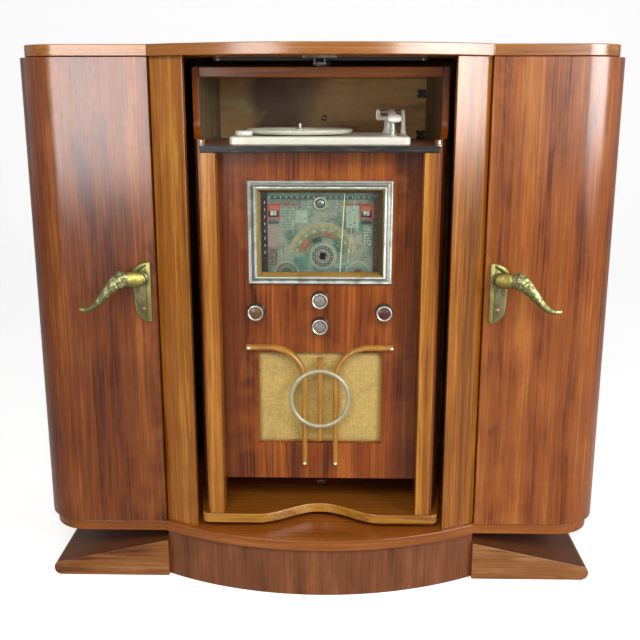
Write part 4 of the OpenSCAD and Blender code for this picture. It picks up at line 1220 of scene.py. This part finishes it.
def make_station_blocks(art):
    """Blocks of short printed lines on pale fields, some tinted."""
    # Field ink, line ink, left, top, width, rows
    blocks = [
        ("grey", "dark", scale_left + 37, scale_top - 29, 22, 15),
        ("grey", "rose", scale_left + 64, scale_top - 36, 21, 8),
        ("grey", "dark", scale_left + 74, scale_top - 17, 20, 6),
        ("grey", "dark", scale_right - 88, scale_top - 17, 18, 6),
        ("grey", "teal", scale_right - 60, scale_top - 28, 22, 14),
        ("rose", "brown", scale_left + 12, scale_top - 64, 16, 14),
        ("brown", "rose", scale_left + 12, scale_bottom + 39, 15, 11),
        ("teal", "dark", scale_right - 36, scale_top - 58, 9, 6),
        ("rose", "dark", scale_right - 26, scale_top - 52, 13, 3),
        ("dark", "pale", scale_right - 28, scale_top - 67, 15, 12),
        ("teal", "dark", scale_left + 60, scale_bottom + 24, 26, 8),
        ("teal", "grey", scale_right - 82, scale_bottom + 14, 30, 4),
        ("rose", "grey", scale_right - 50, scale_top - 80, 18, 6),
    ]
    pitch = 2.9
    for seed, (field, line, x, z, width, rows) in enumerate(blocks):
        art.mark(field, x + width / 2, z - rows * pitch / 2 + pitch / 2, width + 1.5, rows * pitch)
        art.column(line, x, z, width, rows, pitch, seed + 1)


def make_loose_marks(art):
    """Small marks between the blocks. The remainders scatter them."""
    for i in range(260):
        x = scale_left + 30 + (i * 47.7) % (scale_right - scale_left - 52)
        z = scale_bottom + 6 + (i * 31.3) % (scale_top - scale_bottom - 24)
        art.mark(("grey", "olive", "dark", "grey", "rose")[i % 5], x, z, 2.0 + (i * 7) % 5, 1.3)


def make_scale_arch(art, centre):
    """A round arch of ticks over coloured fields, with a number at every fifth tick or so."""
    reach = 1.45
    art.arc("olive", centre, 47, -reach, reach, 21, 40)
    # Ink, radius, start, end, width
    fields = [("rust", 40, -1.3, -0.75, 13), ("teal", 50, -0.5, -0.1, 7),
              ("rust", 42, 0.05, 0.5, 8), ("teal", 36, 0.7, 1.35, 15),
              ("rose", 52, 0.75, 1.1, 7), ("dark", 33, -0.6, -0.1, 9)]
    for ink, radius, start, end, width in fields:
        art.arc(ink, centre, radius, start, end, width, 9)
    for ink, radius, width, count in (("gold", 60, 4.6, 44), ("cream", 63.5, 0.9, 48),
                                      ("cream", 56.6, 0.7, 44)):
        art.arc(ink, centre, radius, -reach, reach, width, count)
    for i, angle in enumerate(spread(reach, 45)):
        art.ray("dark", centre, angle, 58 if i % 5 else 55, 61.5, 0.6 if i % 5 else 1.1)
    for i, angle in enumerate(spread(reach * 0.9, 25)):
        art.ray("cream", centre, angle, 38, 40.5 if i % 4 else 43, 0.5)
    return [(str(20 * (k + 1)), *on_circle(centre, 49.5, angle), 4.2, angle, 0.0)
            for k, angle in enumerate(spread(reach * 0.92, 9))]


def make_tick_disc(art, centre):
    """A disc of rings and ticks about the arch's centre, with six small numbers."""
    for ink, radius, width, count in (
            ("dark", 16.5, 7.0, 32), ("rose", 6.0, 11.0, 20), ("cream", 21.5, 1.4, 36),
            ("grey", 24.5, 1.8, 36), ("pale", 12.6, 0.9, 28)):
        art.arc(ink, centre, radius, 0, FULL_TURN, width, count)
    for i, angle in enumerate(around(24)):
        art.ray("pale", centre, angle, 15.5, 18 if i % 2 else 19.5, 1.1)
    return [(str(k + 1), *on_circle(centre, 7.6, angle), 3.6, 0.0, 0.0)
            for k, angle in enumerate(around(6))]


def make_corner_fan(art, centre, ink, fill):
    """A half fan of ticks that rises from the bottom edge."""
    art.arc(ink, centre, 14, -1.35, 1.35, 12, 20)
    art.arc(fill, centre, 6, -1.3, 1.3, 5, 10)
    art.arc("cream", centre, 21.5, -1.4, 1.4, 1.3, 26)
    art.arc("grey", centre, 24.5, -1.4, 1.4, 1.2, 26)
    for angle in spread(1.2, 15):
        art.ray("cream", centre, angle, 10, 19, 0.8)


def make_pointer():
    """The carriage on its rail, with a broad hand and a thin one that lean to the right. The thin
    dull hand is a painted reflection of the broad one in the glass.
    """
    carriage = middle("dial_pointer").x - 6.5
    hand_length = 153
    shape = Shape()
    # The second, thinner and duller hand is a painted reflection of the first.
    for foot_x, top_x, half, depth, paint in ((0.0, 8.5, 1.2, 0.8, 0), (11.5, 29.0, 0.5, 0.4, 2)):
        rings = []
        for share, width in ((0.0, 1.25), (0.05, 1.0), (0.9, 0.9), (1.0, 0.6)):
            x = carriage + foot_x + (top_x - foot_x) * share
            z = rail_z + 3 + hand_length * share
            reach = half * width
            rings.append([(x - reach, rail_y, z), (x - reach * 0.5, rail_y - depth, z),
                          (x + reach * 0.5, rail_y - depth, z), (x + reach, rail_y, z),
                          (x, rail_y + depth * 0.7, z)])
        shape.skin(rings, paint)
    plate = rounded_rectangle(14.5, 3.5, 2.0, (carriage + 6.5, rail_z + 0.5), 4)
    shape.prism(plate, rail_y - 3, rail_y + 3, "Y", 1)
    shape.finish("dial_hands", "pointer", [POINTER, BAKELITE, POINTER_REFLECTION], "pointer_cream",
                 ["dial_pointer"], soften=0.3)


def make_tuning_eye():
    """Eye valve: a domed target under glass with a gilt ring, its bulb and its base behind."""
    low, high = limits("tuning_eye")
    front = (0, low.y, (low.z + high.z) / 2)
    length = high.y - low.y
    shape = Shape()
    target = [(0, 0), (3, 0.3), (6.5, 1.6), (8.6, 4), (8.8, 8), (0, 8)]
    shape.lathe(target, front, "Y", 40)
    ring = [(8.9, 2), (9.8, 0.4), (12.2, 0.6), (13.2, 2.6), (13.2, 3.4), (8.9, 3.4)]
    shape.lathe(ring, front, "Y", 40, 1, loop=True)
    shape.lathe([(0, -0.4), (2.6, -0.3), (3.0, 0.6), (0, 0.8)], front, "Y", 24, 2)
    bulb = [(0, 8), (8.9, 8.2), (8.9, 50), (7.6, length - 14), (0, length - 14)]
    shape.lathe(bulb, front, "Y", 36, 3)
    base = [(0, length - 16), (13.4, length - 15.6), (14, length - 14), (14, length - 1),
            (13.2, length), (0, length)]
    shape.lathe(base, front, "Y", 36, 4)
    shape.finish("eye_valve", "drum", [EYE, RING_PAINT, IRON, VALVE_GLASS, BAKELITE], "eye_glass",
                 ["tuning_eye"])


def make_dial():
    make_dial_surround()
    dress("dial_glass", GLASS)
    make_dial_print()
    make_pointer()
    make_tuning_eye()


# Knobs

def make_flutes(name, front, skirt, body, slot):
    """Ribs round a knob's grip, each a square bar that stands on its edge."""
    reach, width = 14.3, 1.3
    spots = []
    for angle in around(36):
        place = front + Vector((reach * math.cos(angle), (skirt - 2) / 2, reach * math.sin(angle)))
        spots.append((place, (0.0, math.pi / 4 - angle, 0.0), (width, skirt - 9, width)))
    SLABS.grow(name, spots, {"Paint": BAKELITE}, body, slot)


def make_knob(node, body, lens, slot):
    """Fluted skirted knob with a chromed ring round a coloured lens, on its steel shaft."""
    low, high = limits(node)
    front = Vector(((low.x + high.x) / 2, low.y, (low.z + high.z) / 2))
    skirt = panel_y - 0.6 - low.y
    end = high.y - low.y
    shape = Shape()
    shape.lathe([(0, skirt), (16.4, skirt), (17, skirt - 1), (16.6, skirt - 3.2),
                 (15, skirt - 5), (14.2, skirt - 7), (14.0, 3), (0, 3)], front, "Y", 48)
    ring = [(15.0, 4.5), (15.4, 2.2), (14.6, 0.4), (13.0, 0), (11.6, 0.8), (11.0, 2.6),
            (11.0, 4.5)]
    shape.lathe(ring, front, "Y", 48, 1, loop=True)
    shape.lathe([(0, 1.3), (4, 1.6), (8, 2.4), (11.2, 3.4), (11.2, 4.6), (0, 4.6)], front, "Y",
                40, 2)
    shape.lathe([(0, skirt - 6), (3, skirt - 6), (3, end - 1), (2.2, end), (0, end)], front,
                "Y", 20, 3)
    shape.finish(node + "_cap", body, [BAKELITE, CHROME, lens, STEEL], slot, [node])
    make_flutes(node + "_flutes", front, skirt, body, slot)


def make_knobs():
    make_knob("knob_left", "volume_knob", LENS_AMBER, "amber_knob")
    make_knob("knob_right", "tone_knob", LENS_RED, "red_knob")
    make_knob("knob_upper", "tuning_knob", LENS_GREY, "grey_knob")
    make_knob("knob_lower", "wave_knob", LENS_GREY, "grey_knob")


# Loudspeaker grille

bars_low, bars_high = limits("grille_bars")
bar_w = 10.5
bar_x = 30.0
bar_bend = 64.0
bar_top = bars_high.z - bar_w / 2
bar_end = bars_low.z
middle_bar = [(0, 289), (0, 456)]


def sweep_bar(shape, route):
    """A half round bar along (x, z) points, its flat back on the panel."""
    front, back, half = bars_low.y, bars_high.y, bar_w / 2
    heel = back - 0.4
    rings = []
    for index, (x, z) in enumerate(route):
        behind, ahead = neighbours(route, index)
        along = Vector((ahead[0] - behind[0], ahead[1] - behind[1])).normalized()
        side = Vector((-along.y, along.x))
        ring = []
        for angle in even_steps(math.pi, 12):
            across = half * math.cos(angle)
            depth = heel - (heel - front) * math.sin(angle) ** 0.6
            ring.append((x + side.x * across, depth, z + side.y * across))
        ring.append((x - side.x * half, back, z - side.y * half))
        ring.append((x + side.x * half, back, z + side.y * half))
        rings.append(ring)
    shape.skin(rings)


def make_bars():
    """Two bent bars and a straight one between them, with a nail near each end of the bent ones."""
    shape = Shape()
    bend = (bar_x + bar_bend, bar_top - bar_bend)
    curve = [(bend[0] - bar_bend * math.sin(a), bend[1] + bar_bend * math.cos(a))
             for a in even_steps(math.pi / 2, 20)]
    for side in (-1, 1):
        route = [(bars_high.x, bar_top)] + curve + [(bar_x, bar_end)]
        sweep_bar(shape, [(side * x, z) for x, z in route])
    sweep_bar(shape, middle_bar)
    shape.finish("sound_bars", "drum", [BAR_WOOD], "light_walnut", ["grille_bars"], sharp=50)
    spots = []
    for side in (-1, 1):
        for x, z in ((bars_high.x - 3.5, bar_top), (bar_x, bar_end + 3)):
            spots.append(((side * x, bars_low.y + 1.0, z), (FRONT, 0, 0), (3.4, 3.4, 3.4)))
    add_screws("bar_nails", spots, NICKEL, NICKEL, "drum", "plated_frame", dome=0.9, cut=0.05)


def make_ring():
    low, high = limits("grille_ring")
    half = 7.7 / 2
    centre_r = high.x - half
    profile = [(centre_r + half * math.cos(a), high.y - (high.y - low.y) * math.sin(a) ** 0.7)
               for a in even_steps(math.pi, 10)]
    shape = Shape()
    shape.lathe(profile, (0, 0, (low.z + high.z) / 2), "Y", 96, loop=True)
    shape.finish("sound_ring", "drum", [RING_PAINT], "plated_frame", ["grille_ring"], sharp=60)


def make_grille_cloth():
    """Woven cloth stretched over the opening, its edges drawn back and glued to the baffle."""
    low, high = limits("grille_cloth")
    columns, rows, edge, thickness = 60, 48, 7.0, 0.4
    wide, tall = high.x - low.x, high.z - low.z
    front, back = low.y + 0.5, high.y - 0.3
    shape = Shape()
    bm = shape.bm
    grid = []
    for row in range(rows + 1):
        z = low.z + tall * row / rows
        line = []
        for column in range(columns + 1):
            x = low.x + wide * column / columns
            inset = min(x - low.x, high.x - x, z - low.z, high.z - z)
            turn = max(0.0, 1.0 - inset / edge) ** 2
            slack = 0.5 * noise.noise((x * 0.02, z * 0.025, 4.0)) * (1 - turn)
            line.append(bm.verts.new((x, front + thickness + slack + (back - front) * turn, z)))
        grid.append(line)
    for a, b in zip(grid, grid[1:]):
        for i in range(columns):
            bm.faces.new([a[i], a[i + 1], b[i + 1], b[i]])
    bmesh.ops.recalc_face_normals(bm, faces=bm.faces)
    bmesh.ops.solidify(bm, geom=list(bm.faces), thickness=thickness)
    cloth = shape.finish("sound_cloth", "drum", [CLOTH], "gold_cloth", ["grille_cloth"], sharp=80)


def make_grille():
    make_bars()
    make_ring()
    make_grille_cloth()


# Record player

base_low, base_high = limits("player_base")
player_top = base_low.z + 15.0
yoke = middle("arm_yoke")
arm_pivot_z = player_top + 40


def add_player_casting(shape, half_x, half_y, centre):
    """The base itself, with a rounded rim and a raised border round a sunk top."""
    low, top = base_low.z, player_top
    rings = []
    for inset, z in ((1.5, low), (0.0, low + 1.5), (0.0, top - 4.5), (0.6, top - 2.2),
                     (2.2, top - 0.7), (4.5, top), (8.5, top), (9.5, top - 0.7)):
        outline = rounded_rectangle(half_x - inset, half_y - inset, 9.0 - inset * 0.4, centre, 8)
        rings.append([(x, y, z) for x, y in outline])
    shape.skin(rings)


def add_stop_pillar(shape):
    pillar = [(0, -1), (7.5, -1), (7.5, 1), (6, 2.4), (5, 12), (3.4, 34), (3.0, 37), (1.6, 38),
              (0, 38)]
    shape.lathe(pillar, (156.0, 110.0, player_top), "Z", 28)


def add_arm_rest(shape):
    """A turned post with a saddle on it."""
    x, y = 133.0, 60.0
    post = [(0, -1), (7, -1), (7, 1), (4.6, 2.4), (4, 5), (4, 30), (0, 30)]
    shape.lathe(post, (x, y, player_top), "Z", 24)
    saddle = [(-10, 29), (10, 29), (10, 32), (8, 32.2), (5, 30.4), (-5, 30.4), (-8, 32.2),
              (-10, 32)]
    shape.prism([(x + u, player_top + v) for u, v in saddle], y - 5, y + 5, "Y")


def make_player_base():
    """Enamelled casting with the stop pillar, the arm rest and a screw in each corner."""
    half_x, half_y = base_high.x, (base_high.y - base_low.y) / 2
    centre = (0.0, base_low.y + half_y)
    shape = Shape()
    add_player_casting(shape, half_x, half_y, centre)
    add_stop_pillar(shape)
    add_arm_rest(shape)
    shape.finish("player_deck", "drum", [CREAM], "cream_enamel", ["player_base"], sharp=35)
    screw_inset = 13
    spots = []
    for sx in (-1, 1):
        for sy in (-1, 1):
            place = (sx * (half_x - screw_inset), centre[1] + sy * (half_y - screw_inset),
                     player_top - 0.6)
            spots.append((place, (0, 0, 0.7 * sx + sy), (4, 4, 3)))
    add_screws("player_screws", spots, CHROME, IRON, "drum", "cream_enamel")


def make_platter():
    """Pressed platter with a rolled rim, a ribbed mat and the spindle that a record drops on."""
    low, high = limits("turntable")
    radius = (high.x - low.x) / 2
    rim = Vector(((low.x + high.x) / 2, (low.y + high.y) / 2, player_top + 10.0))
    foot = low.z - rim.z
    shape = Shape()
    shape.lathe([(0, -8), (radius - 7, -8), (radius - 4, -7), (radius - 3.5, -5),
                 (radius - 0.8, -4.6), (radius, -3.2), (radius, -1.4), (radius - 1.2, -0.2),
                 (radius - 3, 0), (radius - 5, -0.6), (radius - 5.6, -1.8), (0, -1.8)],
                rim, "Z", 96)
    mat = [(0, -2), (radius - 8, -2), (radius - 8.4, -0.9), (22, -0.9), (20, -1.4), (0, -1.4)]
    shape.lathe(mat, rim, "Z", 96, 1)
    spindle = [(0, -2), (9, -1.4), (9, -0.2), (5, 0.4), (3.5, 1), (3.5, 8.5), (2.4, 10.6),
               (0, 11)]
    shape.lathe(spindle, rim, "Z", 28, 2)
    shape.lathe([(0, foot), (4, foot), (5, foot + 1), (5, -7), (0, -7)], rim, "Z", 28, 2)
    shape.finish("platter", "turntable", [CREAM, MAT, CHROME], "cream_enamel", ["turntable"])
    rib_place = rim - Vector((0, 0, 0.9))
    spots = []
    for i in range(16):
        reach = 24 + 4.2 * i
        spots.append((rib_place, (0, 0, 0), (reach, reach, 60)))
    RIBS.grow("platter_ribs", spots, {"Wire": 0.008, "Paint": MAT}, "turntable", "cream_enamel")


def squared(value):
    """A sine or cosine pushed outward, which turns a circle into a rounded square."""
    return math.copysign(abs(value) ** 0.7, value)


def make_tonearm():
    """Pick-up arm: a tapering moulded shell from its hinge block to the head and its needle."""
    pivot = Vector((yoke.x, yoke.y, arm_pivot_z))
    shape = Shape()
    # Place along the arm, half width, then the underside and the top
    stations = [(8, 7.0, -3.6, 5.0), (4, 8.0, -4.0, 6.0), (-14, 8.0, -4.2, 6.2),
                (-40, 7.2, -5.2, 5.0), (-70, 6.4, -7.0, 2.6), (-98, 6.6, -9.4, -0.4),
                (-106, 9.8, -12.5, -0.8), (-116, 13.4, -15.4, -1.6), (-132, 14.0, -16.0, -2.4),
                (-143, 13.2, -15.4, -4.0), (-149, 10.5, -13.6, -7.0)]
    rings = []
    for y, half, under, over in smooth_route(stations, 5):
        ring = []
        for angle in around(24):
            across = half * squared(math.cos(angle))
            height = (under + over) / 2 + (over - under) / 2 * squared(math.sin(angle))
            ring.append(pivot + Vector((across, y, height)))
        rings.append(ring)
    shape.skin(rings)
    shape.lathe([(0, -26), (3, -26), (3, 26), (0, 26)], pivot, "X", 20, 1)
    needle = [(0, -26), (0.35, -25), (1.1, -18), (1.7, -17), (1.7, -13), (0, -13)]
    shape.lathe(needle, pivot + Vector((0, -140, 0)), "Z", 16, 1)
    shape.finish("pickup_arm", "arm", [IVORY, CHROME], "cream_enamel", ["tonearm"], sharp=50)


def make_arm_post():
    """Turned post under a forked yoke, with a dark pivot screw in each cheek."""
    shape = Shape()
    post = [(0, 0.2), (15.5, 0.2), (15.5, 3), (13.6, 4.4), (12.4, 8), (12, 22), (13.4, 26),
            (0, 26)]
    shape.lathe(post, (yoke.x, yoke.y, player_top), "Z", 40)
    saddle = [(-28, 27), (-24, 25), (24, 25), (28, 27), (28, 42), (26, 45), (22, 45), (20, 42),
              (20, 34), (17, 32), (-17, 32), (-20, 34), (-20, 42), (-22, 45), (-26, 45),
              (-28, 42)]
    shape.prism([(yoke.x + u, player_top + v) for u, v in saddle], yoke.y - 9, yoke.y + 9, "Y")
    shape.finish("arm_bracket", "arm_post", [IVORY], "cream_enamel", ["arm_yoke"], soften=1.0)
    spots = []
    for side in (-1, 1):
        place = (yoke.x + side * 27.4, yoke.y, arm_pivot_z)
        spots.append((place, (0, side * math.pi / 2, 0), (3.6, 3.6, 1.6)))
    add_screws("arm_pivot_screws", spots, IRON, STEEL, "arm_post", "steel", cut=0.25)


def make_speed_wheel():
    """Fluted selector wheel with a pointer nib on its top."""
    place = middle("speed_lever")
    x, y, z = place.x, place.y, limits("speed_lever")[0].z
    wheel_radius, flutes = 16.4, 16
    shape = Shape()
    rings = []
    for reach, height in ((0.86, 0.0), (0.96, 0.6), (1.0, 2.0), (1.0, 6.4), (0.95, 8.0),
                          (0.86, 8.7), (0.5, 8.9)):
        ring = []
        for angle in around(96):
            flute = 1 - 0.045 * (0.5 + 0.5 * math.cos(flutes * angle))
            radius = wheel_radius * reach * flute
            ring.append((x + radius * math.cos(angle), y + radius * math.sin(angle), z + height))
        rings.append(ring)
    shape.skin(rings)
    shape.prism(rounded_rectangle(1.4, 6, 1.2, (x, y - 8)), z + 8.5, z + 9.6, "Z", 1)
    shape.finish("speed_wheel", "speed", [IVORY, IRON], "white_plastic", ["speed_lever"], sharp=50)


def make_record_player():
    make_player_base()
    make_platter()
    make_tonearm()
    make_arm_post()
    make_speed_wheel()


# Valves

# Place, radius and height
VALVES = [(-125, 150, 19, 98), (-125, 205, 19, 98), (-70, 150, 19, 98), (125, 100, 22, 112),
          (0, 205, 22, 104)]


def make_valves():
    """Five valves: moulded bases, glass bulbs, plates inside with a disc over them, and caps."""
    shape = Shape()
    for x, y, r, h in VALVES:
        place = (x, y, limits("valves")[0].z)
        neck = r * 0.8
        base = [(0, 0), (neck, 0), (neck + 0.6, 2), (neck, 4), (neck, 22), (neck - 1, 24),
                (0, 24)]
        shape.lathe(base, place, "Z", 28, 1)
        dome = [(r * math.cos(a), h - r + (r - 2) * math.sin(a))
                for a in even_steps(math.pi / 2, 8)[:-1]]
        bulb = [(0, 24), (neck - 1, 24), (neck, 27), (r - 0.6, 40), (r, 48)]
        shape.lathe(bulb + dome + [(0, h - 2)], place, "Z", 36)
        plates = [(0, 30), (r * 0.45, 30), (r * 0.45, h - 34), (0, h - 34)]
        shape.lathe(plates, place, "Z", 20, 2)
        shape.lathe([(r * 0.6, h - 33), (r * 0.6, h - 31), (0, h - 31)], place, "Z", 20, 3)
        cap = [(0, h - 3), (5, h - 3), (5, h - 1), (4, h), (4, h + 5), (3, h + 6), (0, h + 6)]
        shape.lathe(cap, place, "Z", 20, 3)
    shape.finish("valve_set", "drum", [VALVE_GLASS, BAKELITE, IRON, STEEL], "valve_glass",
                 ["valves"])


# Small fittings

def make_wall_screw():
    low, _ = limits("deck_back")
    spots = [((4.0, low.y, low.z + 41), (FRONT, 0.4, 0), (6, 6, 4))]
    add_screws("wall_screw", spots, DULL_IRON, COPPER, "drum", "dark_iron", cut=0.25)


def make_deck_ironwork():
    """Two four-lobed brackets on the wall of the record space, and two pegs on its deck."""
    low, high = limits("deck_back")
    lobe = [(0, 0), (4.5, 0), (4.5, -2.4), (3.4, -3.2), (0, -3.4)]
    disc = [(0, 0), (5, 0), (5, -2), (0, -2)]
    lobe_reach = 6.4
    bracket_x = high.x - 9.5
    shape = Shape()
    for z in (high.z - 30, low.z + 8):
        for i in range(4):
            angle = math.pi / 4 + math.pi / 2 * i
            across, up = lobe_reach * math.cos(angle), lobe_reach * math.sin(angle)
            shape.lathe(lobe, (bracket_x + across, low.y, z + up), "Y", 20)
        shape.lathe(disc, (bracket_x, low.y, z), "Y", 20)
    deck_low, deck_high = limits("deck_board")
    peg = [(0, -1), (5, -1), (5.2, 0.6), (4.4, 2), (3.2, 3), (3.0, 8.4), (2.2, 9.6), (0, 10)]
    for side in (-1, 1):
        shape.lathe(peg, (side * (deck_high.x - 17), deck_low.y + 12, deck_high.z), "Z", 24, 1)
    shape.finish("deck_ironwork", "drum", [DULL_IRON, STEEL], "dark_iron")


def make_back_screws():
    """Screws along the edges of the back panel, their heads all but flush with it."""
    low, high = limits("back_panel")
    size = (4.5, 4.5, 0.02)
    margin = 14
    spots = []
    for share in (0.03, 0.27, 0.5, 0.73, 0.97):
        x = low.x + (high.x - low.x) * share
        for z in (low.z + margin, high.z - margin):
            spots.append(((x, high.y, z), (BACK, x, 0), size))
    for x in (low.x + margin, high.x - margin):
        for share in (0.35, 0.65):
            z = low.z + (high.z - low.z) * share
            spots.append(((x, high.y, z), (BACK, z, 0), size))
    add_screws("back_screws", spots, BRASS, IRON, "cabinet", "aged_brass", dome=0.6)


def make_strap_bolts():
    low, high = limits("pivot_bearer")
    spots = [((side * (high.x - 8), low.y - 0.4, high.z - 3.5), (FRONT, 0.3, 0), (3.0, 3.0, 2.4))
             for side in (-1, 1)]
    add_screws("strap_bolts", spots, CHROME, IRON, "cabinet", "steel", dome=0.6)


def make_fittings():
    make_wall_screw()
    make_deck_ironwork()
    make_back_screws()
    make_strap_bolts()


make_handles()
make_dial()
make_knobs()
make_grille()
make_record_player()
make_valves()
make_fittings()


# The pale floor, the lamps and the camera

def make_floor_paint():
    """White to the camera, with the shadow kept."""
    material, tree, shader, output = new_material("pale floor")
    grain = tree.noise(tree.coordinates(), 3.0, 2.0)
    tree.fill(shader, {
        "Base Color": rgb(0.82, 0.82, 0.82), "Roughness": 0.9,
        "Normal": tree.bump(grain, 0.02, 0.001)})
    strength = tree.times(tree.seen_by("Is Camera Ray"), 0.62)
    glow = tree.node("ShaderNodeEmission", {"Color": rgb(1, 1, 1), "Strength": strength})
    both = tree.node("ShaderNodeAddShader", {0: shader.outputs[0], 1: glow.outputs[0]})
    tree.fill(output, {"Surface": both.outputs[0]})
    return material


def make_stage():
    """A pale floor that runs up into a backdrop. Its places are in metres."""
    near, rise_start, rise_radius, half_width, height = -7.0, 3.0, 1.5, 9.0, 6.0
    profile = [(near, 0.0), (rise_start, 0.0)]
    for angle in even_steps(math.pi / 2, 12)[1:]:
        profile.append((rise_start + rise_radius * math.sin(angle),
                        rise_radius * (1 - math.cos(angle))))
    profile.append((rise_start + rise_radius, height))
    mesh = bpy.data.meshes.new("floor")
    points = [(x, y, z) for y, z in profile for x in (-half_width, half_width)]
    faces = [(2 * i, 2 * i + 1, 2 * i + 3, 2 * i + 2) for i in range(len(profile) - 1)]
    mesh.from_pydata(points, [], faces)
    mesh.materials.append(make_floor_paint())
    for face in mesh.polygons:
        face.use_smooth = True
    stand("floor", mesh)


def make_lamp(name, place, target, size, watts, lights=True):
    """A soft lamp. One that doesn't light is only seen in what is glossy, as a card is."""
    lamp = bpy.data.lights.new(name, "AREA")
    lamp.shape = "RECTANGLE"
    lamp.size, lamp.size_y = size
    lamp.energy = watts
    holder = stand(name, lamp)
    holder.location = place
    holder.visible_diffuse = lights
    aim = Vector(target) - Vector(place)
    holder.rotation_euler = aim.to_track_quat("-Z", "Y").to_euler()


def make_lamps():
    """Two cards that the doors reflect, a key light and a fill, in metres."""
    make_lamp("left panel", place=(-1.0, -2.2, 1.03), target=(-0.35, -0.2, 0.9),
              size=(0.75, 0.88), watts=46, lights=False)
    make_lamp("right panel", place=(1.74, -1.61, 1.25), target=(0.47, -0.2, 0.95),
              size=(1.7, 1.0), watts=160, lights=False)
    make_lamp("key light", place=(-0.4, -2.4, 2.4), target=(0.0, 0.0, 0.5),
              size=(1.5, 1.0), watts=38)
    make_lamp("right fill", place=(2.0, -1.9, 1.6), target=(0.1, -0.1, 0.5),
              size=(1.0, 1.0), watts=30)


def make_world(strength):
    """White where it is looked at or reflected, and of the given strength as a light."""
    world = bpy.data.worlds.new("studio")
    bpy.context.scene.world = world
    world.use_nodes = True
    world.node_tree.nodes.clear()
    tree = Tree(world.node_tree)
    seen = tree.seen_by("Is Camera Ray", "Is Transmission Ray", "Is Glossy Ray")
    level = tree.plus(tree.times(seen, 1.0 - strength), strength)
    background = tree.node("ShaderNodeBackground", {"Color": rgb(1, 1, 1), "Strength": level})
    tree.node("ShaderNodeOutputWorld", {"Surface": background.outputs[0]})


def make_camera():
    """The photo's camera, as solved from the cabinet's edges."""
    camera = bpy.data.cameras.new("camera")
    camera.lens = 51.02
    camera.sensor_width = 36.0
    holder = stand("camera", camera)
    holder.location = (0.0373, -1.8295, 0.9445)
    holder.rotation_euler = (math.radians(76.02), 0.0, math.radians(1.28))
    bpy.context.scene.camera = holder


make_stage()
make_lamps()
make_world(0.28)
make_camera()
bpy.context.scene.view_settings.view_transform = "Standard"
